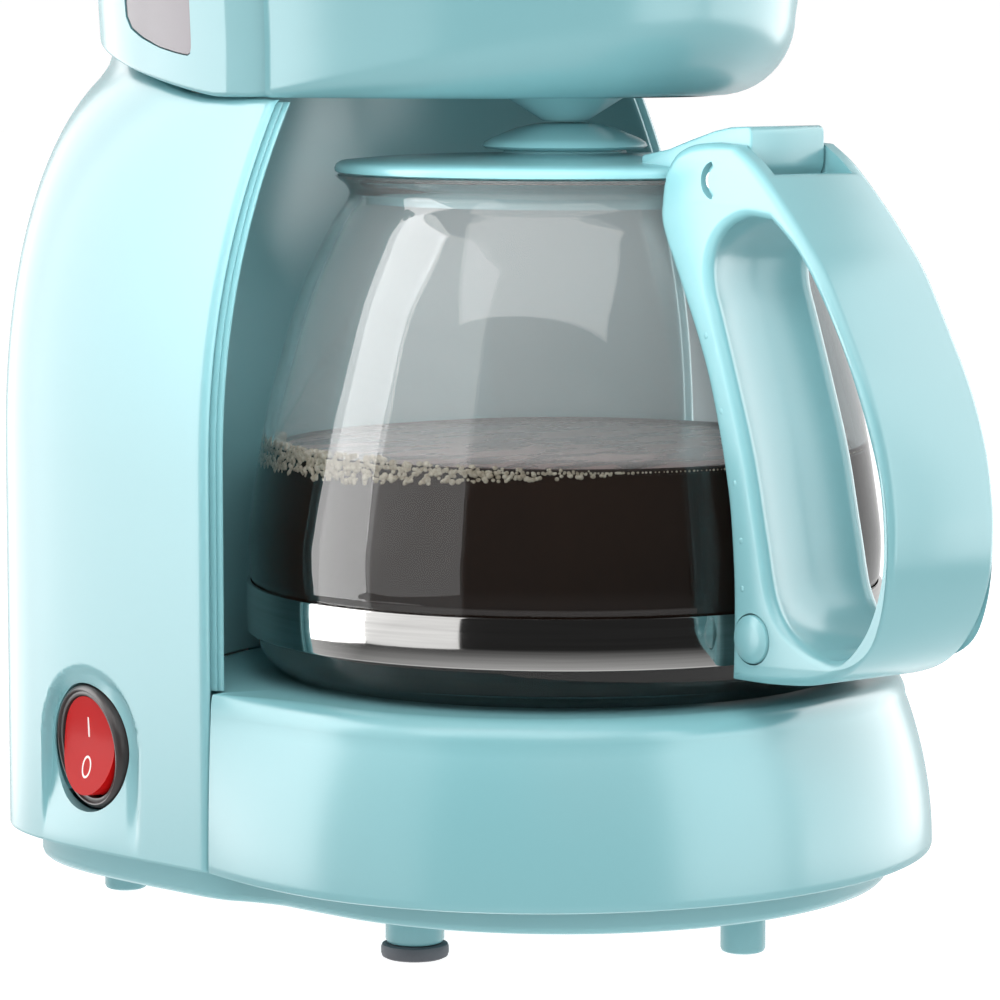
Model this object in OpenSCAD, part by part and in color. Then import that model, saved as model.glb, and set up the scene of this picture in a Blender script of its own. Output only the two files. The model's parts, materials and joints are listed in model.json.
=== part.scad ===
/* [Housing] */
// Half width of the tower at its widest
tower_half_w = 67.2; // [64:0.1:70]
// Half length of the tower, front to back
tower_half_len = 68.4; // [67:0.1:70]
// Height at which the tower starts to lean in
waist_z = 85; // [75:1:95]
// How far each side leans in at the top
tower_taper = 20; // [17:0.5:22]
// Thickness of the moulded housing walls
wall = 2.4; // [2:0.1:2.8]
// Height of the lower edge of the housing
skirt_z = 14.5; // [13:0.5:16]
// Top of the round base
base_top = 46.5; // [45:0.5:47]
// Reach of the round base to each side
base_side_r = 70; // [69:0.5:71]
// Reach of the round base to the front
base_front_r = 66; // [64:0.5:68]

/* [Head] */
// Half width of the oval head
head_half_w = 51.4; // [50:0.2:53]
// Half length of the oval head
head_half_len = 69.8; // [68:0.2:72]
// Height of the flat underside
head_floor = 151; // [150.5:0.1:151.5]
// Height of the head's open rim
head_rim = 232; // [228:1:236]
// Thickness of the top lid at its crown
lid_rise = 16; // [14:1:18]

/* [Carafe] */
// Largest radius of the glass
glass_r = 57.7; // [56:0.1:58]
// Turn of the handle away from straight ahead
handle_turn = 8; // [0:1:10]
// Half width of the handle
handle_half_w = 12.3; // [11:0.1:13]

/* [Switch] */
// Place of the switch, back from the carafe's axis
switch_y = 56.6; // [54:0.1:58]
// Height of the switch's centre
switch_z = 33.5; // [30:0.5:34]

/* [Hidden] */
$fn = 64;

AQUA = [0.66, 0.89, 0.89];
STEEL = [0.78, 0.79, 0.8];
DARK = [0.12, 0.12, 0.13];
SILICONE = [0.86, 0.86, 0.84];

tower_y = 31;                 // centre of the tower's section
front_y = 24.5;               // front edges of the tower's sides
niche_depth = 37;             // from the front edges back to the niche wall
rim_w = 4.6;                  // width of the tower's front rim
head_y = 29;                  // centre of the head's oval
gap = 0.35;                   // between parts that only meet
plate_r = 44.5;               // warming plate
valve_hole_r = 14;            // hole in the head's floor round the drip valve
tube_r = 5;                   // outer radius of the water hoses
tube_bore = 3.4;              // inner radius of the water hoses
heater_r = 31;                // centreline of the heater's horseshoe
heater_z = 35.5;              // height of the water way in the heater
heater_gap = 35.5;            // half angle of the horseshoe's open end
element_z = 42.4;             // height of the heating element
cold_x = -18;                 // side of the heater where cold water enters
hose_start = 31;              // the hoses slip over the heater's ends from here
hose_y = 72;                  // the cold hose rises here
riser_y = 85;                 // the riser passes behind the water tank here
arm_z = 223;                  // height of the spray arm
riser_top = 196;              // upper end of the riser hose
hinge_y = 94.6;                // axis of the top lid
hinge_z = 236;
lid_end_y = 90.6;             // back edge of the top lid
pin_r = 1.5;
ear_r = 53;                   // carafe lid's hinge axis, out from the carafe's axis
ear_z = 137.5;
handle_angle = -90 - handle_turn;
switch_depth = 3.1;           // the switch's pivot lies this far inside the tower's side
switch_turn = 12;             // the switch looks this far towards the back
switch_dip = 4;               // and this far down
rocker_tilt = 8;              // the rocker leans this far to either side
window_y = [44, 66];          // water window
window_z = [160, 222];

// ---- shared geometry ----

function signed_pow(v, e) = sign(v) * pow(abs(v), e);
function superellipse(a, b, n, t) = [a * signed_pow(cos(t), 2 / n), b * signed_pow(sin(t), 2 / n)];
function reverse(list) = [for (i = [len(list) - 1 : -1 : 0]) list[i]];
function catmull(a, b, c, d, t) =
    (2 * b + (c - a) * t + (2 * a - 5 * b + 4 * c - d) * t * t + (3 * b - a - 3 * c + d) * t * t * t) / 2;

// A smooth open curve through the given points.
function smooth(p, steps = 4) = let (last = len(p) - 1) concat(
    [for (i = [0 : last - 1]) for (s = [0 : steps - 1])
        catmull(p[max(0, i - 1)], p[i], p[i + 1], p[min(last, i + 2)], s / steps)],
    [p[last]]);

// Two triangles for the cell with corners a, b, c, d.
function cell(a, b, c, d) = [[a, c, b], [a, d, c]];

// A thin wall between two skins. Each skin is a list of stations, and each station a list of
// points from one edge of the wall to the other.
module wall_between(outer, inner, closed) {
    m = len(outer[0]);
    n = len(outer);
    row = 2 * m;
    sides = [for (k = [0 : closed ? n - 1 : n - 2], i = [0 : row - 1])
        let (k2 = (k + 1) % n, i2 = (i + 1) % row)
        each cell(k * row + i, k2 * row + i, k2 * row + i2, k * row + i2)];
    first = [for (i = [0 : m - 2]) each cell(i, i + 1, row - 2 - i, row - 1 - i)];
    end = (n - 1) * row;
    last = [for (i = [0 : m - 2]) each
        cell(end + i, end + row - 1 - i, end + row - 2 - i, end + i + 1)];
    polyhedron([for (k = [0 : n - 1]) each concat(outer[k], reverse(inner[k]))],
        closed ? sides : concat(sides, first, last));
}

// A solid skinned over closed rings, from the centre of the first to the centre of the last.
module skin_rings(rings) {
    n = len(rings[0]);
    m = len(rings);
    middle = function (ring) [for (c = [0 : 2]) [for (p = ring) p[c]] * [for (p = ring) 1] / n];
    sides = [for (i = [0 : m - 2], k = [0 : n - 1]) let (k2 = (k + 1) % n)
        each cell(i * n + k, i * n + k2, (i + 1) * n + k2, (i + 1) * n + k)];
    under = [for (k = [0 : n - 1]) [n * m, k, (k + 1) % n]];
    over = [for (k = [0 : n - 1]) [n * m + 1, (m - 1) * n + (k + 1) % n, (m - 1) * n + k]];
    polyhedron(concat([for (r = rings) each r], [middle(rings[0]), middle(rings[m - 1])]),
        concat(sides, under, over));
}

module ring(r_out, r_in, h) {
    difference() {
        cylinder(r = r_out, h = h);
        translate([0, 0, -1]) cylinder(r = r_in, h = h + 2);
    }
}

// A straight hose from point a along an axis-aligned direction.
module hose(a, turn, length) {
    translate(a) rotate(turn) ring(tube_r, tube_bore, length);
}

module in_handle_frame() {
    rotate([0, 0, handle_angle]) children();
}

// An outline in the handle's own plane (out from the carafe, up), given thickness both ways.
module side_plate(half_w) {
    rotate([90, 0, 0]) linear_extrude(2 * half_w, center = true) children();
}

// ---- tower ----

function lean(z) = max(0, (z - waist_z) / 70);
function tower_w(z) = tower_half_w - tower_taper * pow(lean(z), 2.2);
function tower_n(z) = 4.2 - 1.7 * pow(min(1, lean(z)), 5);
function seam_z(y) = head_floor - 0.4 + 8 * pow(max(0, y - 38) / 42, 1.2);

tower_stations = 41;
tower_levels = 12;

function tower_point(k, z, inset) = let (a = tower_w(z) - inset)
    k == 0 ? [a, front_y, z] : k == tower_stations - 1 ? [-a, front_y, z]
    : let (p = superellipse(a, tower_half_len - inset, tower_n(z), 180 * (k - 1) / (tower_stations - 3)))
        [p.x, p.y + tower_y, z];

function tower_skin(inset) = [for (k = [0 : tower_stations - 1])
    let (top = seam_z(tower_point(k, head_floor, inset).y))
    [for (i = [0 : tower_levels]) tower_point(k, skirt_z + (top - skirt_z) * i / tower_levels, inset)]];

module tower_shell() {
    color(AQUA) difference() {
        wall_between(tower_skin(0), tower_skin(wall), false);
        at_switch() cylinder(r = 11.75, h = 20, center = true);
        translate([inlet_x, 80, 27]) rotate([-90, 0, 0]) cylinder(r = 5.7, h = 30);
    }
}

function niche_skin(thick) = [for (t = [0 : 7.5 : 180]) [for (i = [0 : 8])
    let (z = base_top + gap + (head_floor - base_top - 1.2) * i / 8)
    [(tower_w(z) - rim_w + thick) * cos(t), front_y + 0.3 + (niche_depth + thick) * sin(t), z]]];

module niche_panel() {
    color(AQUA) wall_between(niche_skin(0), niche_skin(-wall + 0.4), false);
}

// ---- base ----

seam_y = 24;

// Outline of the round base: a round front, sides that run back to the tower, and the part
// inside the tower that carries the niche wall.
function base_outline(a, b, side, rear_a, rear_b, z) = concat(
    [for (t = [180 : 7.5 : 360]) [a * cos(t), b * sin(t), z]],
    [for (s = [0.3, 0.65, 1]) [a + (side - a) * s * s, seam_y * s, z]],
    [[min(side, rear_a) - 0.1, seam_y + 0.15, z]],
    [for (t = [0 : 10 : 180]) [rear_a * cos(t), front_y + 0.4 + rear_b * sin(t), z]],
    [[-min(side, rear_a) + 0.1, seam_y + 0.15, z]],
    [for (s = [1, 0.65, 0.3]) [-a - (side - a) * s * s, seam_y * s, z]]);

shoulder = 4.5;
function base_inset(z) = 4.4 * pow((z - skirt_z) / 25.5, 2);
function base_ring(inset, z, thick) = base_outline(base_side_r - inset - thick,
    base_front_r - inset - thick, tower_half_w - 0.2 - inset * 0.15 - thick, tower_w(0) - rim_w - 0.3 - thick,
    niche_depth - 0.4 - thick, z);
function base_skin(thick) = let (bend = base_top - shoulder) concat(
    [for (i = [0 : 4]) let (z = skirt_z + (bend - skirt_z) * i / 4) base_ring(base_inset(z), z, thick)],
    [for (t = [30 : 30 : 90]) base_ring(base_inset(bend) + shoulder * (1 - cos(t)),
        bend + (shoulder - thick) * sin(t), thick)]);

function plate_edge(z, outline) = [for (p = outline) let (d = norm([p.x, p.y])) [p.x / d, p.y / d, 0]
    * (plate_r + 0.7) + [0, 0, z]];
function stations(rings) = [for (k = [0 : len(rings[0]) - 1]) [for (r = rings) r[k]]];

module base_shell() {
    outer = base_skin(0);
    inner = base_skin(wall);
    color(AQUA) difference() {
        union() {
            difference() {
                wall_between(stations(concat(outer, [plate_edge(base_top, outer[0])])),
                    stations(concat(inner, [plate_edge(base_top - wall, outer[0])])), true);
                translate([-66, front_y + 0.7, skirt_z - 1]) cube([132, 40, base_top - wall - skirt_z + 1.6]);
                translate([-64.5, front_y - 1.1, skirt_z - 1]) cube([129, 3, 5.4]);
            }
            for (p = screw_places) translate([p.x, p.y, post_z]) cylinder(r = 3.4, h = base_top - 1 - post_z);
        }
        for (p = screw_places) translate([p.x, p.y, post_z - 1]) cylinder(r = 1.75, h = 14);
    }
}

// ---- bottom ----

inlet_x = 18;                 // cord inlet in the back wall
bare_feet = [[0, -43], [36, 80], [-36, 80]];
padded_feet = [[43, -3.5], [-43, -3.5]];
pad_h = 2.6;
cover_z = 9;

tray_waist = [[60.2, 14], [61.6, 19.5], [63.7, 25]];   // where the round front meets the wider back
function cover_outline(inset, z) = concat(
    [for (t = [180 : 9 : 360]) [(60 - inset) * cos(t), (59 - inset) * sin(t), z]],
    [for (p = tray_waist) [p.x - inset, p.y, z]],
    [for (t = [0 : 9 : 180]) let (p = superellipse(64.4 - inset, 63 - inset, 4, t)) [p.x, p.y + 30, z]],
    [for (p = reverse(tray_waist)) [inset - p.x, p.y, z]]);

module bottom_cover() {
    color(AQUA) difference() {
        union() {
            skin_rings([cover_outline(1.5, cover_z), cover_outline(0, cover_z + 1.5),
                cover_outline(0, skirt_z + 4), cover_outline(wall, skirt_z + 4),
                cover_outline(wall, cover_z + wall)]);
            for (p = bare_feet) translate([p.x, p.y, 0]) cylinder(r = 4, h = cover_z + 1);
            for (p = padded_feet) translate([p.x, p.y, pad_h + 0.02])
                cylinder(r = 5.2, h = cover_z + 1 - pad_h);
        }
        for (p = screw_places) translate([p.x, p.y, cover_z - 1]) {
            cylinder(r = 2, h = 6);
            cylinder(r = 3.6, h = 2.2);
        }
    }
}

screw_places = [[-37, -38], [37, -38], [-42, 38], [42, 38]];
post_z = cover_z + wall + 0.3;   // lower end of the screw posts

module cover_screws() {
    color(STEEL) for (p = screw_places) translate([p.x, p.y, cover_z + 0.1]) difference() {
        union() {
            cylinder(r = 3.3, h = 1);
            cylinder(r = 1.72, h = 12);
        }
        translate([0, 0, -1]) cylinder(r = 1.3, h = 1.6, $fn = 6);
    }
}

module rubber_feet() {
    color(DARK) for (p = padded_feet) translate([p.x, p.y, 0]) cylinder(r = 6, h = pad_h);
}

module cord_inlet() {
    color(DARK) translate([inlet_x, 0, 27]) rotate([-90, 0, 0]) difference() {
        union() {
            translate([0, 0, 94]) cylinder(r = 5.5, h = 6);
            translate([0, 0, 94]) cylinder(r = 7.2, h = 1.6);
            translate([0, 0, 99.5]) cylinder(r = 7.2, h = 1);
        }
        translate([0, 0, 90]) cylinder(r = 3.6, h = 12);
    }
}

// ---- heater ----

module warming_plate() {
    color(DARK) rotate_extrude($fn = 96) polygon([[0, base_top - 0.8], [plate_r - 1.2, base_top - 0.8],
        [plate_r - 1.2, base_top - 4.6], [plate_r, base_top - 4.6], [plate_r, base_top - 0.4],
        [plate_r - 0.8, base_top + 0.2], [plate_r - 3, base_top + 0.3], [0, base_top + 0.3]]);
}

module plate_seal() {
    color(SILICONE) translate([0, 0, base_top - wall - 2]) ring(plate_r + 3.5, plate_r + 0.1, 1.8);
}

// Section of the heater's casting: it holds the element above the water way.
module heater_section() {
    difference() {
        translate([heater_r - 6, heater_z - 5.2]) square([12, base_top - 0.9 - heater_z + 5.2]);
        translate([heater_r, heater_z]) circle(r = 3.4);
    }
}

module heater_block() {
    color([0.7, 0.71, 0.73]) {
        rotate([0, 0, 90 + heater_gap]) rotate_extrude(angle = 360 - 2 * heater_gap) difference() {
            heater_section();
            translate([heater_r + 3.2, element_z]) circle(r = 2.2);
        }
        for (s = [-1, 1]) translate([s * cold_x, 24.5, heater_z]) rotate([-90, 0, 0])
            ring(tube_bore - 0.05, 2.4, 11);
    }
}

module heating_element() {
    color(STEEL) rotate([0, 0, 90 + heater_gap - 4]) rotate_extrude(angle = 368 - 2 * heater_gap)
        translate([heater_r + 3.2, element_z]) circle(r = 2.1);
}

module heater_bracket() {
    color(STEEL) translate([-4, -40, heater_z - 7]) difference() {
        cube([8, 64, 1.6]);
        for (y = [5, 59]) translate([4, y, -1]) cylinder(r = 1.6, h = 4);
    }
}

module thermostat() {
    color([0.85, 0.8, 0.68]) translate([0, -heater_r, heater_z - 14.2]) {
        cylinder(r = 8, h = 7);
        for (s = [-1, 1]) translate([4.5 * s - 0.4, -3, -7]) cube([0.8, 6, 7.5]);
    }
}

module thermal_fuses() {
    color([0.85, 0.8, 0.68]) for (s = [-1, 1]) translate([s * heater_r, -8, heater_z - 7.3])
        rotate([-90, 0, 0]) cylinder(r = 1.9, h = 16);
}

// ---- water path ----

valve_body_y = 42;            // heater side of the check valve's body

module check_valve_body() {
    color(SILICONE) translate([cold_x, valve_body_y, heater_z]) rotate([-90, 0, 0]) difference() {
        union() {
            cylinder(r = 6.4, h = 14);
            translate([0, 0, -6]) cylinder(r = tube_bore - 0.05, h = 26);
        }
        translate([0, 0, 2]) cylinder(r = 4.6, h = 9);
        translate([0, 0, -7]) cylinder(r = 2, h = 28);
    }
}

module check_ball() {
    color(STEEL) translate([cold_x, valve_body_y + 7.6, heater_z]) sphere(r = 3.1);
}

// Quarter bend from a run along +Y into a run up +Z, starting at its lower end.
module elbow(x, y) {
    translate([x, y, heater_z]) rotate([90, 0, 90]) translate([0, bend_r, 0])
        rotate([0, 0, -90]) rotate_extrude(angle = 90) translate([bend_r, 0]) difference() {
            circle(r = tube_r);
            circle(r = tube_bore);
        }
}

bend_r = 10;

module cold_water_hose() {
    color(SILICONE) {
        hose([cold_x, hose_start, heater_z], [-90, 0, 0], valve_body_y - hose_start - 0.2);
        hose([cold_x, valve_body_y + 14.2, heater_z], [-90, 0, 0], hose_y - bend_r - valve_body_y - 14.2);
        elbow(cold_x, hose_y - bend_r);
        hose([cold_x, hose_y, heater_z + bend_r], [0, 0, 0], tank_z - 1 - heater_z - bend_r);
    }
}

module hot_water_hose() {
    color(SILICONE) {
        hose([-cold_x, hose_start, heater_z], [-90, 0, 0], riser_y - bend_r - hose_start);
        elbow(-cold_x, riser_y - bend_r);
        hose([-cold_x, riser_y, heater_z + bend_r], [0, 0, 0], riser_top - heater_z - bend_r);
    }
}

module hose_clamps() {
    color(STEEL) {
        for (s = [-1, 1]) translate([s * cold_x, hose_start + 1, heater_z]) rotate([-90, 0, 0])
            ring(tube_r + 0.8, tube_r + 0.02, 3);
        translate([cold_x, valve_body_y + 15, heater_z]) rotate([-90, 0, 0])
            ring(tube_r + 0.8, tube_r + 0.02, 3);
        translate([cold_x, hose_y, tank_z - 8]) ring(tube_r + 0.8, tube_r + 0.02, 3);
    }
}

// ---- head ----

head_stations = 48;

head_n = [2.1, 2.45];         // exponents of the head's oval, in front and behind
function head_point(k, inset, z) =
    let (a = 360 * k / head_stations, n = head_n[a > 180 ? 0 : 1],
        p = superellipse(head_half_w - inset, head_half_len - inset, n, a))
    [p.x, p.y + head_y, z];
// Half width of the head's oval at y.
function head_half(y, inset) = let (n = head_n[y < head_y ? 0 : 1]) (head_half_w - inset)
    * pow(1 - pow(abs(y - head_y) / (head_half_len - inset), n), 1 / n);
// The sides swell slightly between the floor and the rim.
function bulge(z) = 1.2 * sin(180 * max(0, min(1, (z - head_floor - 10) / (head_rim - head_floor - 10))));

// The underside is flat at the front and rises with the tower's seam at the back.
function floor_z(y) = seam_z(y) + 0.4;
function keel(y) = 1 + 12 * pow(max(0, min(1, (head_y - y) / head_half_len)), 1.5);
function head_profile(k, thick) =
    let (edge = head_point(k, thick, 0), r = max(0.6, keel(edge.y) - thick), z0 = floor_z(edge.y) + thick)
    concat(
        [for (r = [valve_hole_r, 26]) let (a = 360 * k / head_stations)
            [r * cos(a), r * sin(a), head_floor + thick]],
        [for (t = [0 : 30 : 90]) let (p = head_point(k, thick + r * (1 - sin(t)), 0))
            [p.x, p.y, z0 + r * (1 - cos(t))]],
        [for (i = [1 : 6]) let (z = z0 + r + (head_rim - z0 - r) * i / 6)
            head_point(k, thick - bulge(z), z)]);

module head_shell() {
    outer = [for (k = [0 : head_stations - 1]) head_profile(k, 0)];
    inner = [for (k = [0 : head_stations - 1]) head_profile(k, wall)];
    color(AQUA) difference() {
        wall_between(outer, inner, true);
        translate([-70, window_y[0], window_z[0]])
            cube([30, window_y[1] - window_y[0], window_z[1] - window_z[0]]);
        translate([cold_x, hose_y, 140]) cylinder(r = 7, h = 25);
        translate([-cold_x, riser_y, 140]) cylinder(r = 7, h = 35);
    }
}

function window_skin(inset) = let (y0 = window_y[0] + 0.3, y1 = window_y[1] - 0.3,
    z0 = window_z[0] + 0.3, z1 = window_z[1] - 0.3)
    [for (i = [6 : -1 : 0]) let (y = y0 + (y1 - y0) * i / 6) [for (j = [0 : 6])
        let (z = z0 + (z1 - z0) * j / 6) [-head_half(y, inset - bulge(z)), y, z]]];

module water_window() {
    color([0.6, 0.52, 0.56, 0.7]) wall_between(window_skin(0), window_skin(wall), false);
}

tank_z = 168;
tank_top = 218;

// Outline of the tank: the head's oval, cut off in front by the basket and behind by the riser.
function tank_points(inset) = let (y0 = 38 + inset, y1 = 79 - inset, steps = 10) concat(
    [for (i = [0 : steps]) let (y = y0 + (y1 - y0) * i / steps) [head_half(y, 6 + inset), y]],
    [for (i = [steps : -1 : 0]) let (y = y0 + (y1 - y0) * i / steps) [-head_half(y, 6 + inset), y]]);

module water_tank() {
    color([0.85, 0.93, 0.93, 0.8]) difference() {
        union() {
            translate([0, 0, tank_z]) linear_extrude(tank_top - tank_z) polygon(tank_points(0));
            translate([cold_x, hose_y, tank_z - 12]) cylinder(r = tube_bore - 0.05, h = 13);
        }
        translate([0, 0, tank_z + 2]) linear_extrude(tank_top) polygon(tank_points(2));
        translate([cold_x, hose_y, tank_z - 13]) cylinder(r = 2.3, h = 20);
    }
}

module spray_arm() {
    reach = norm([cold_x, riser_y]);
    turn = atan2(-riser_y, cold_x);
    color(AQUA) difference() {
        union() {
            translate([-cold_x, riser_y, riser_top - 8]) cylinder(r = tube_bore - 0.05, h = 9);
            translate([-cold_x, riser_y, riser_top + 0.3])
                cylinder(r = 4.6, h = arm_z + 4.6 - riser_top - 0.3);
            translate([-cold_x, riser_y, arm_z]) rotate([0, 0, turn]) rotate([0, 90, 0])
                cylinder(r = 4, h = reach);
            translate([0, 0, arm_z - 8]) cylinder(r = 4.8, h = 12.8);
            translate([0, 0, arm_z - 11]) cylinder(r = 11, h = 3.4);
        }
        translate([-cold_x, riser_y, riser_top - 9]) cylinder(r = 2.5, h = arm_z - riser_top + 12.1);
        translate([-cold_x, riser_y, arm_z]) rotate([0, 0, turn]) rotate([0, 90, 0])
            cylinder(r = 2.2, h = reach);
        translate([0, 0, arm_z - 9.8]) cylinder(r = 2.6, h = 12.9);
        translate([0, 0, arm_z - 9.8]) cylinder(r = 9.5, h = 1);
        for (a = [0 : 60 : 300]) rotate([0, 0, a]) translate([7, 0, arm_z - 12]) cylinder(r = 0.9, h = 3);
    }
}

basket_r = 34;
basket_floor = 157;
basket_rim = 206;

module filter_basket() {
    color(AQUA) rotate_extrude($fn = 96) polygon([[3.3, basket_floor], [3.3, basket_floor + 3.5],
        [5.5, basket_floor + 3.5], [7.5, basket_floor + 2], [22, basket_floor + 2.4],
        [basket_r - 4, basket_rim - 4], [basket_r - 2, basket_rim], [basket_r + 1.5, basket_rim],
        [basket_r + 1.5, basket_rim - 1.6], [basket_r - 0.6, basket_rim - 2.4], [24, basket_floor + 1],
        [23.6, head_floor + wall + 0.2], [21.6, head_floor + wall + 0.2], [21.6, basket_floor]]);
}

module mesh_filter() {
    color([0.3, 0.3, 0.32]) {
        rotate_extrude() polygon([[0, basket_floor + 9.2], [19, basket_floor + 9.2], [27, basket_rim - 3.4],
            [29.4, basket_rim - 3.4], [29.4, basket_rim - 2], [26, basket_rim - 2],
            [18.2, basket_floor + 10.2], [0, basket_floor + 10.2]]);
        translate([-1.2, -26.5, basket_rim - 2.2]) cube([2.4, 53, 2.4]);
    }
}

// ---- drip stop ----

module drip_valve() {
    color(AQUA) rotate_extrude() polygon([[0, 146.5], [4.1, 146.5], [4.7, 146.9], [11.2, 150.9],
        [11.7, 151.6], [11.2, 152.3], [3.25, 152.3], [3.25, 161], [1.8, 161], [1.8, 163], [0, 163]]);
}

module valve_seal() {
    color(SILICONE) translate([0, 0, 161.1]) ring(6, 1.82, 1.6);
}

module valve_spring() {
    color(STEEL) translate([0, 0, 152.5]) ring(5.4, 4.6, basket_floor - 152.7);
}

// ---- top lid ----

module hinge_bracket() {
    color(AQUA) difference() {
        for (s = [-1, 1]) translate([s * 14 - 2, 0, 0]) {
            translate([0, hinge_y - 3.2, head_rim - 9]) cube([4, 2.2, 10]);
            translate([0, hinge_y - 3.2, head_rim + 0.3]) cube([4, 6.4, hinge_z - head_rim - 0.3]);
            translate([0, hinge_y, hinge_z]) rotate([0, 90, 0]) cylinder(r = 3.2, h = 4);
        }
        translate([-20, hinge_y, hinge_z]) rotate([0, 90, 0]) cylinder(r = pin_r + 0.02, h = 40);
    }
}

module top_lid_pin() {
    color(STEEL) translate([-17.5, hinge_y, hinge_z]) rotate([0, 90, 0]) cylinder(r = pin_r, h = 35);
}

module lid_hinge_arm() {
    color(AQUA) difference() {
        union() {
            translate([-11.5, hinge_y, hinge_z]) rotate([0, 90, 0]) cylinder(r = 3, h = 23);
            translate([-11.5, hinge_y - 13, hinge_z - 0.9]) cube([23, 13, 2.2]);
        }
        translate([-20, hinge_y, hinge_z]) rotate([0, 90, 0]) cylinder(r = pin_r + 0.05, h = 40);
    }
}

function lid_ring(inset, z) = [for (k = [0 : head_stations - 1])
    let (p = head_point(k, inset + 0.2, z)) [p.x, min(p.y, lid_end_y - inset * 0.3), z]];

module top_lid() {
    z0 = head_rim + gap;
    color(AQUA) difference() {
        skin_rings([lid_ring(26, z0 + lid_rise - 4.6), lid_ring(9, z0 + lid_rise - 8), lid_ring(wall, z0 + 3),
            lid_ring(wall, z0), lid_ring(-1, z0), lid_ring(-1, z0 + 3), lid_ring(0.6, z0 + 7),
            lid_ring(3.6, z0 + 10), lid_ring(8, z0 + 12.3), lid_ring(16, z0 + 14.4),
            lid_ring(28, z0 + lid_rise)]);
        translate([-12, hinge_y - 13.2, z0 - 1]) cube([24, 15, hinge_z + 1.6 - z0 + 1]);
    }
}

// ---- switch ----

module at_switch() {
    translate([switch_depth - tower_half_w, switch_y, switch_z])
        rotate([0, -90 - switch_dip, -switch_turn]) children();
}

module switch_bezel() {
    color(DARK) at_switch() rotate_extrude() polygon([[10.6, -5], [11.4, -5], [11.4, 1.4], [10.8, 2.2],
        [10.3, 2.2], [10, 1.9], [10, 0.8], [10.6, 0.8]]);
}

module switch_body() {
    color(DARK) at_switch() difference() {
        union() {
            translate([0, 0, -17]) cylinder(r = 10.3, h = 17.5);
            for (s = [-1, 0, 1]) translate([6 * s - 2, -0.4, -24]) cube([4, 0.8, 8]);
        }
        translate([0, 0, -7]) cylinder(r = 10.1, h = 8);
    }
}

module rocker() {
    color([0.8, 0.08, 0.08]) at_switch() rotate([0, rocker_tilt, 0]) intersection() {
        translate([0, 0, -4]) cylinder(r = 9.5, h = 10);
        rotate([90, 0, 0]) linear_extrude(30, center = true) polygon([[-12, 2.9], [0, 1.5], [12, 2.9],
            [12, -0.8], [0, -3.6], [-12, -0.8]]);
    }
}

// ---- carafe ----

foot_z = base_top + 0.6;

// Outer profile of the glass, from the foot up to the rim.
glass_profile = concat(
    [[0, foot_z + 1.6], [40, foot_z + 1.6], [46, foot_z + 0.8], [49.5, foot_z]],
    smooth([[51.5, foot_z], [54.6, foot_z + 2.4], [glass_r - 0.9, foot_z + 7]], 4),
    [[glass_r - 0.6, foot_z + 9], [glass_r - 0.6, 63.6]],
    smooth([[glass_r - 0.2, 64.6], [glass_r, 70], [57.2, 76], [55, 90], [52.5, 101], [47.9, 116],
        [42.8, 127], [39.4, 132.4], [39.4, 134.6], [41.6, 136.6]], 3));

glass_inside = concat(
    smooth([[39.8, 136.6], [37.2, 134.4], [37.2, 132], [40.8, 126], [45.8, 115], [50.3, 100],
        [52.8, 89.5], [55, 76], [55.4, 70], [55.1, 60], [53.2, foot_z + 5.5]], 3),
    [[50, foot_z + 3.2], [44, foot_z + 3.8], [0, foot_z + 3.8]]);

module carafe_glass() {
    color([0.85, 0.92, 0.93, 0.4]) rotate_extrude($fn = 96) polygon(concat(glass_profile, glass_inside));
}

module carafe_band() {
    color(STEEL) translate([0, 0, 54.4]) ring(glass_r + 0.3, glass_r - 0.4, 9);
}

handle_outer = smooth([[58.7, 143.5], [64.1, 140.1], [70.8, 134.1], [76.5, 128.2], [81.4, 122.4], [87.4, 112.6],
    [92.5, 103.5], [96, 94.5], [97.8, 86], [98.2, 79], [97.4, 71.5], [94, 63.2], [88, 57], [80, 53.9], [70, 52.7],
    [60.5, 52.4]], 3);
handle_inner = smooth([[59, 52.4], [59.2, 63], [58.9, 72.4], [57.4, 85], [53.6, 100], [50, 109.5], [45, 119.7],
    [40.4, 129], [40.2, 134], [41.2, 138.4], [43.8, 141.8], [47.8, 143.4], [52.4, 143.9]], 3);
finger_gap = smooth([[68, 131.2], [62, 131.6], [57, 129.8], [53.9, 126.8], [52.6, 123.1], [53, 118.8],
    [54.9, 113.8], [59.8, 100.5], [63.3, 90], [66.5, 76.8], [69.2, 66.8], [74.1, 61.4], [82.9, 58.4], [90.8, 61.2],
    [94.3, 67.5], [95.6, 77], [94.8, 87.5], [92, 96.5], [87.1, 107.5], [81.5, 117], [75, 125.5],
    [68, 131.2]], 3);

module handle_clear_of_glass() {
    rotate_extrude($fn = 96) polygon(concat([for (p = glass_profile) p + [0.35, 0]],
        [[43.4, 140], [0, 140]]));
}

module carafe_handle() {
    color(AQUA) in_handle_frame() difference() {
        side_plate(handle_half_w) difference() {
            polygon(concat(handle_outer, handle_inner));
            polygon(finger_gap);
        }
        handle_clear_of_glass();
        translate([0, 0, 54]) ring(glass_r + 0.5, glass_r - 4, 10);
        translate([30, -8.9, 131.5]) cube([31.5, 17.8, 20]);
        translate([59, -8.9, 138.6]) cube([14, 17.8, 10]);
        translate([ear_r, 20, ear_z]) rotate([90, 0, 0]) cylinder(r = pin_r + 0.02, h = 40);
        translate([64.5, 20, 60]) rotate([90, 0, 0]) cylinder(r = 1.8, h = 40);
        for (s = [-1, 1]) translate([64.5, s * handle_half_w, 60]) rotate([90, 0, 0])
            cylinder(r = 4.4, h = 4, center = true);
    }
}

module band_screw() {
    color(STEEL) in_handle_frame() translate([64.5, 9.6, 60]) rotate([90, 0, 0]) cylinder(r = 1.7, h = 19.2);
}

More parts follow.
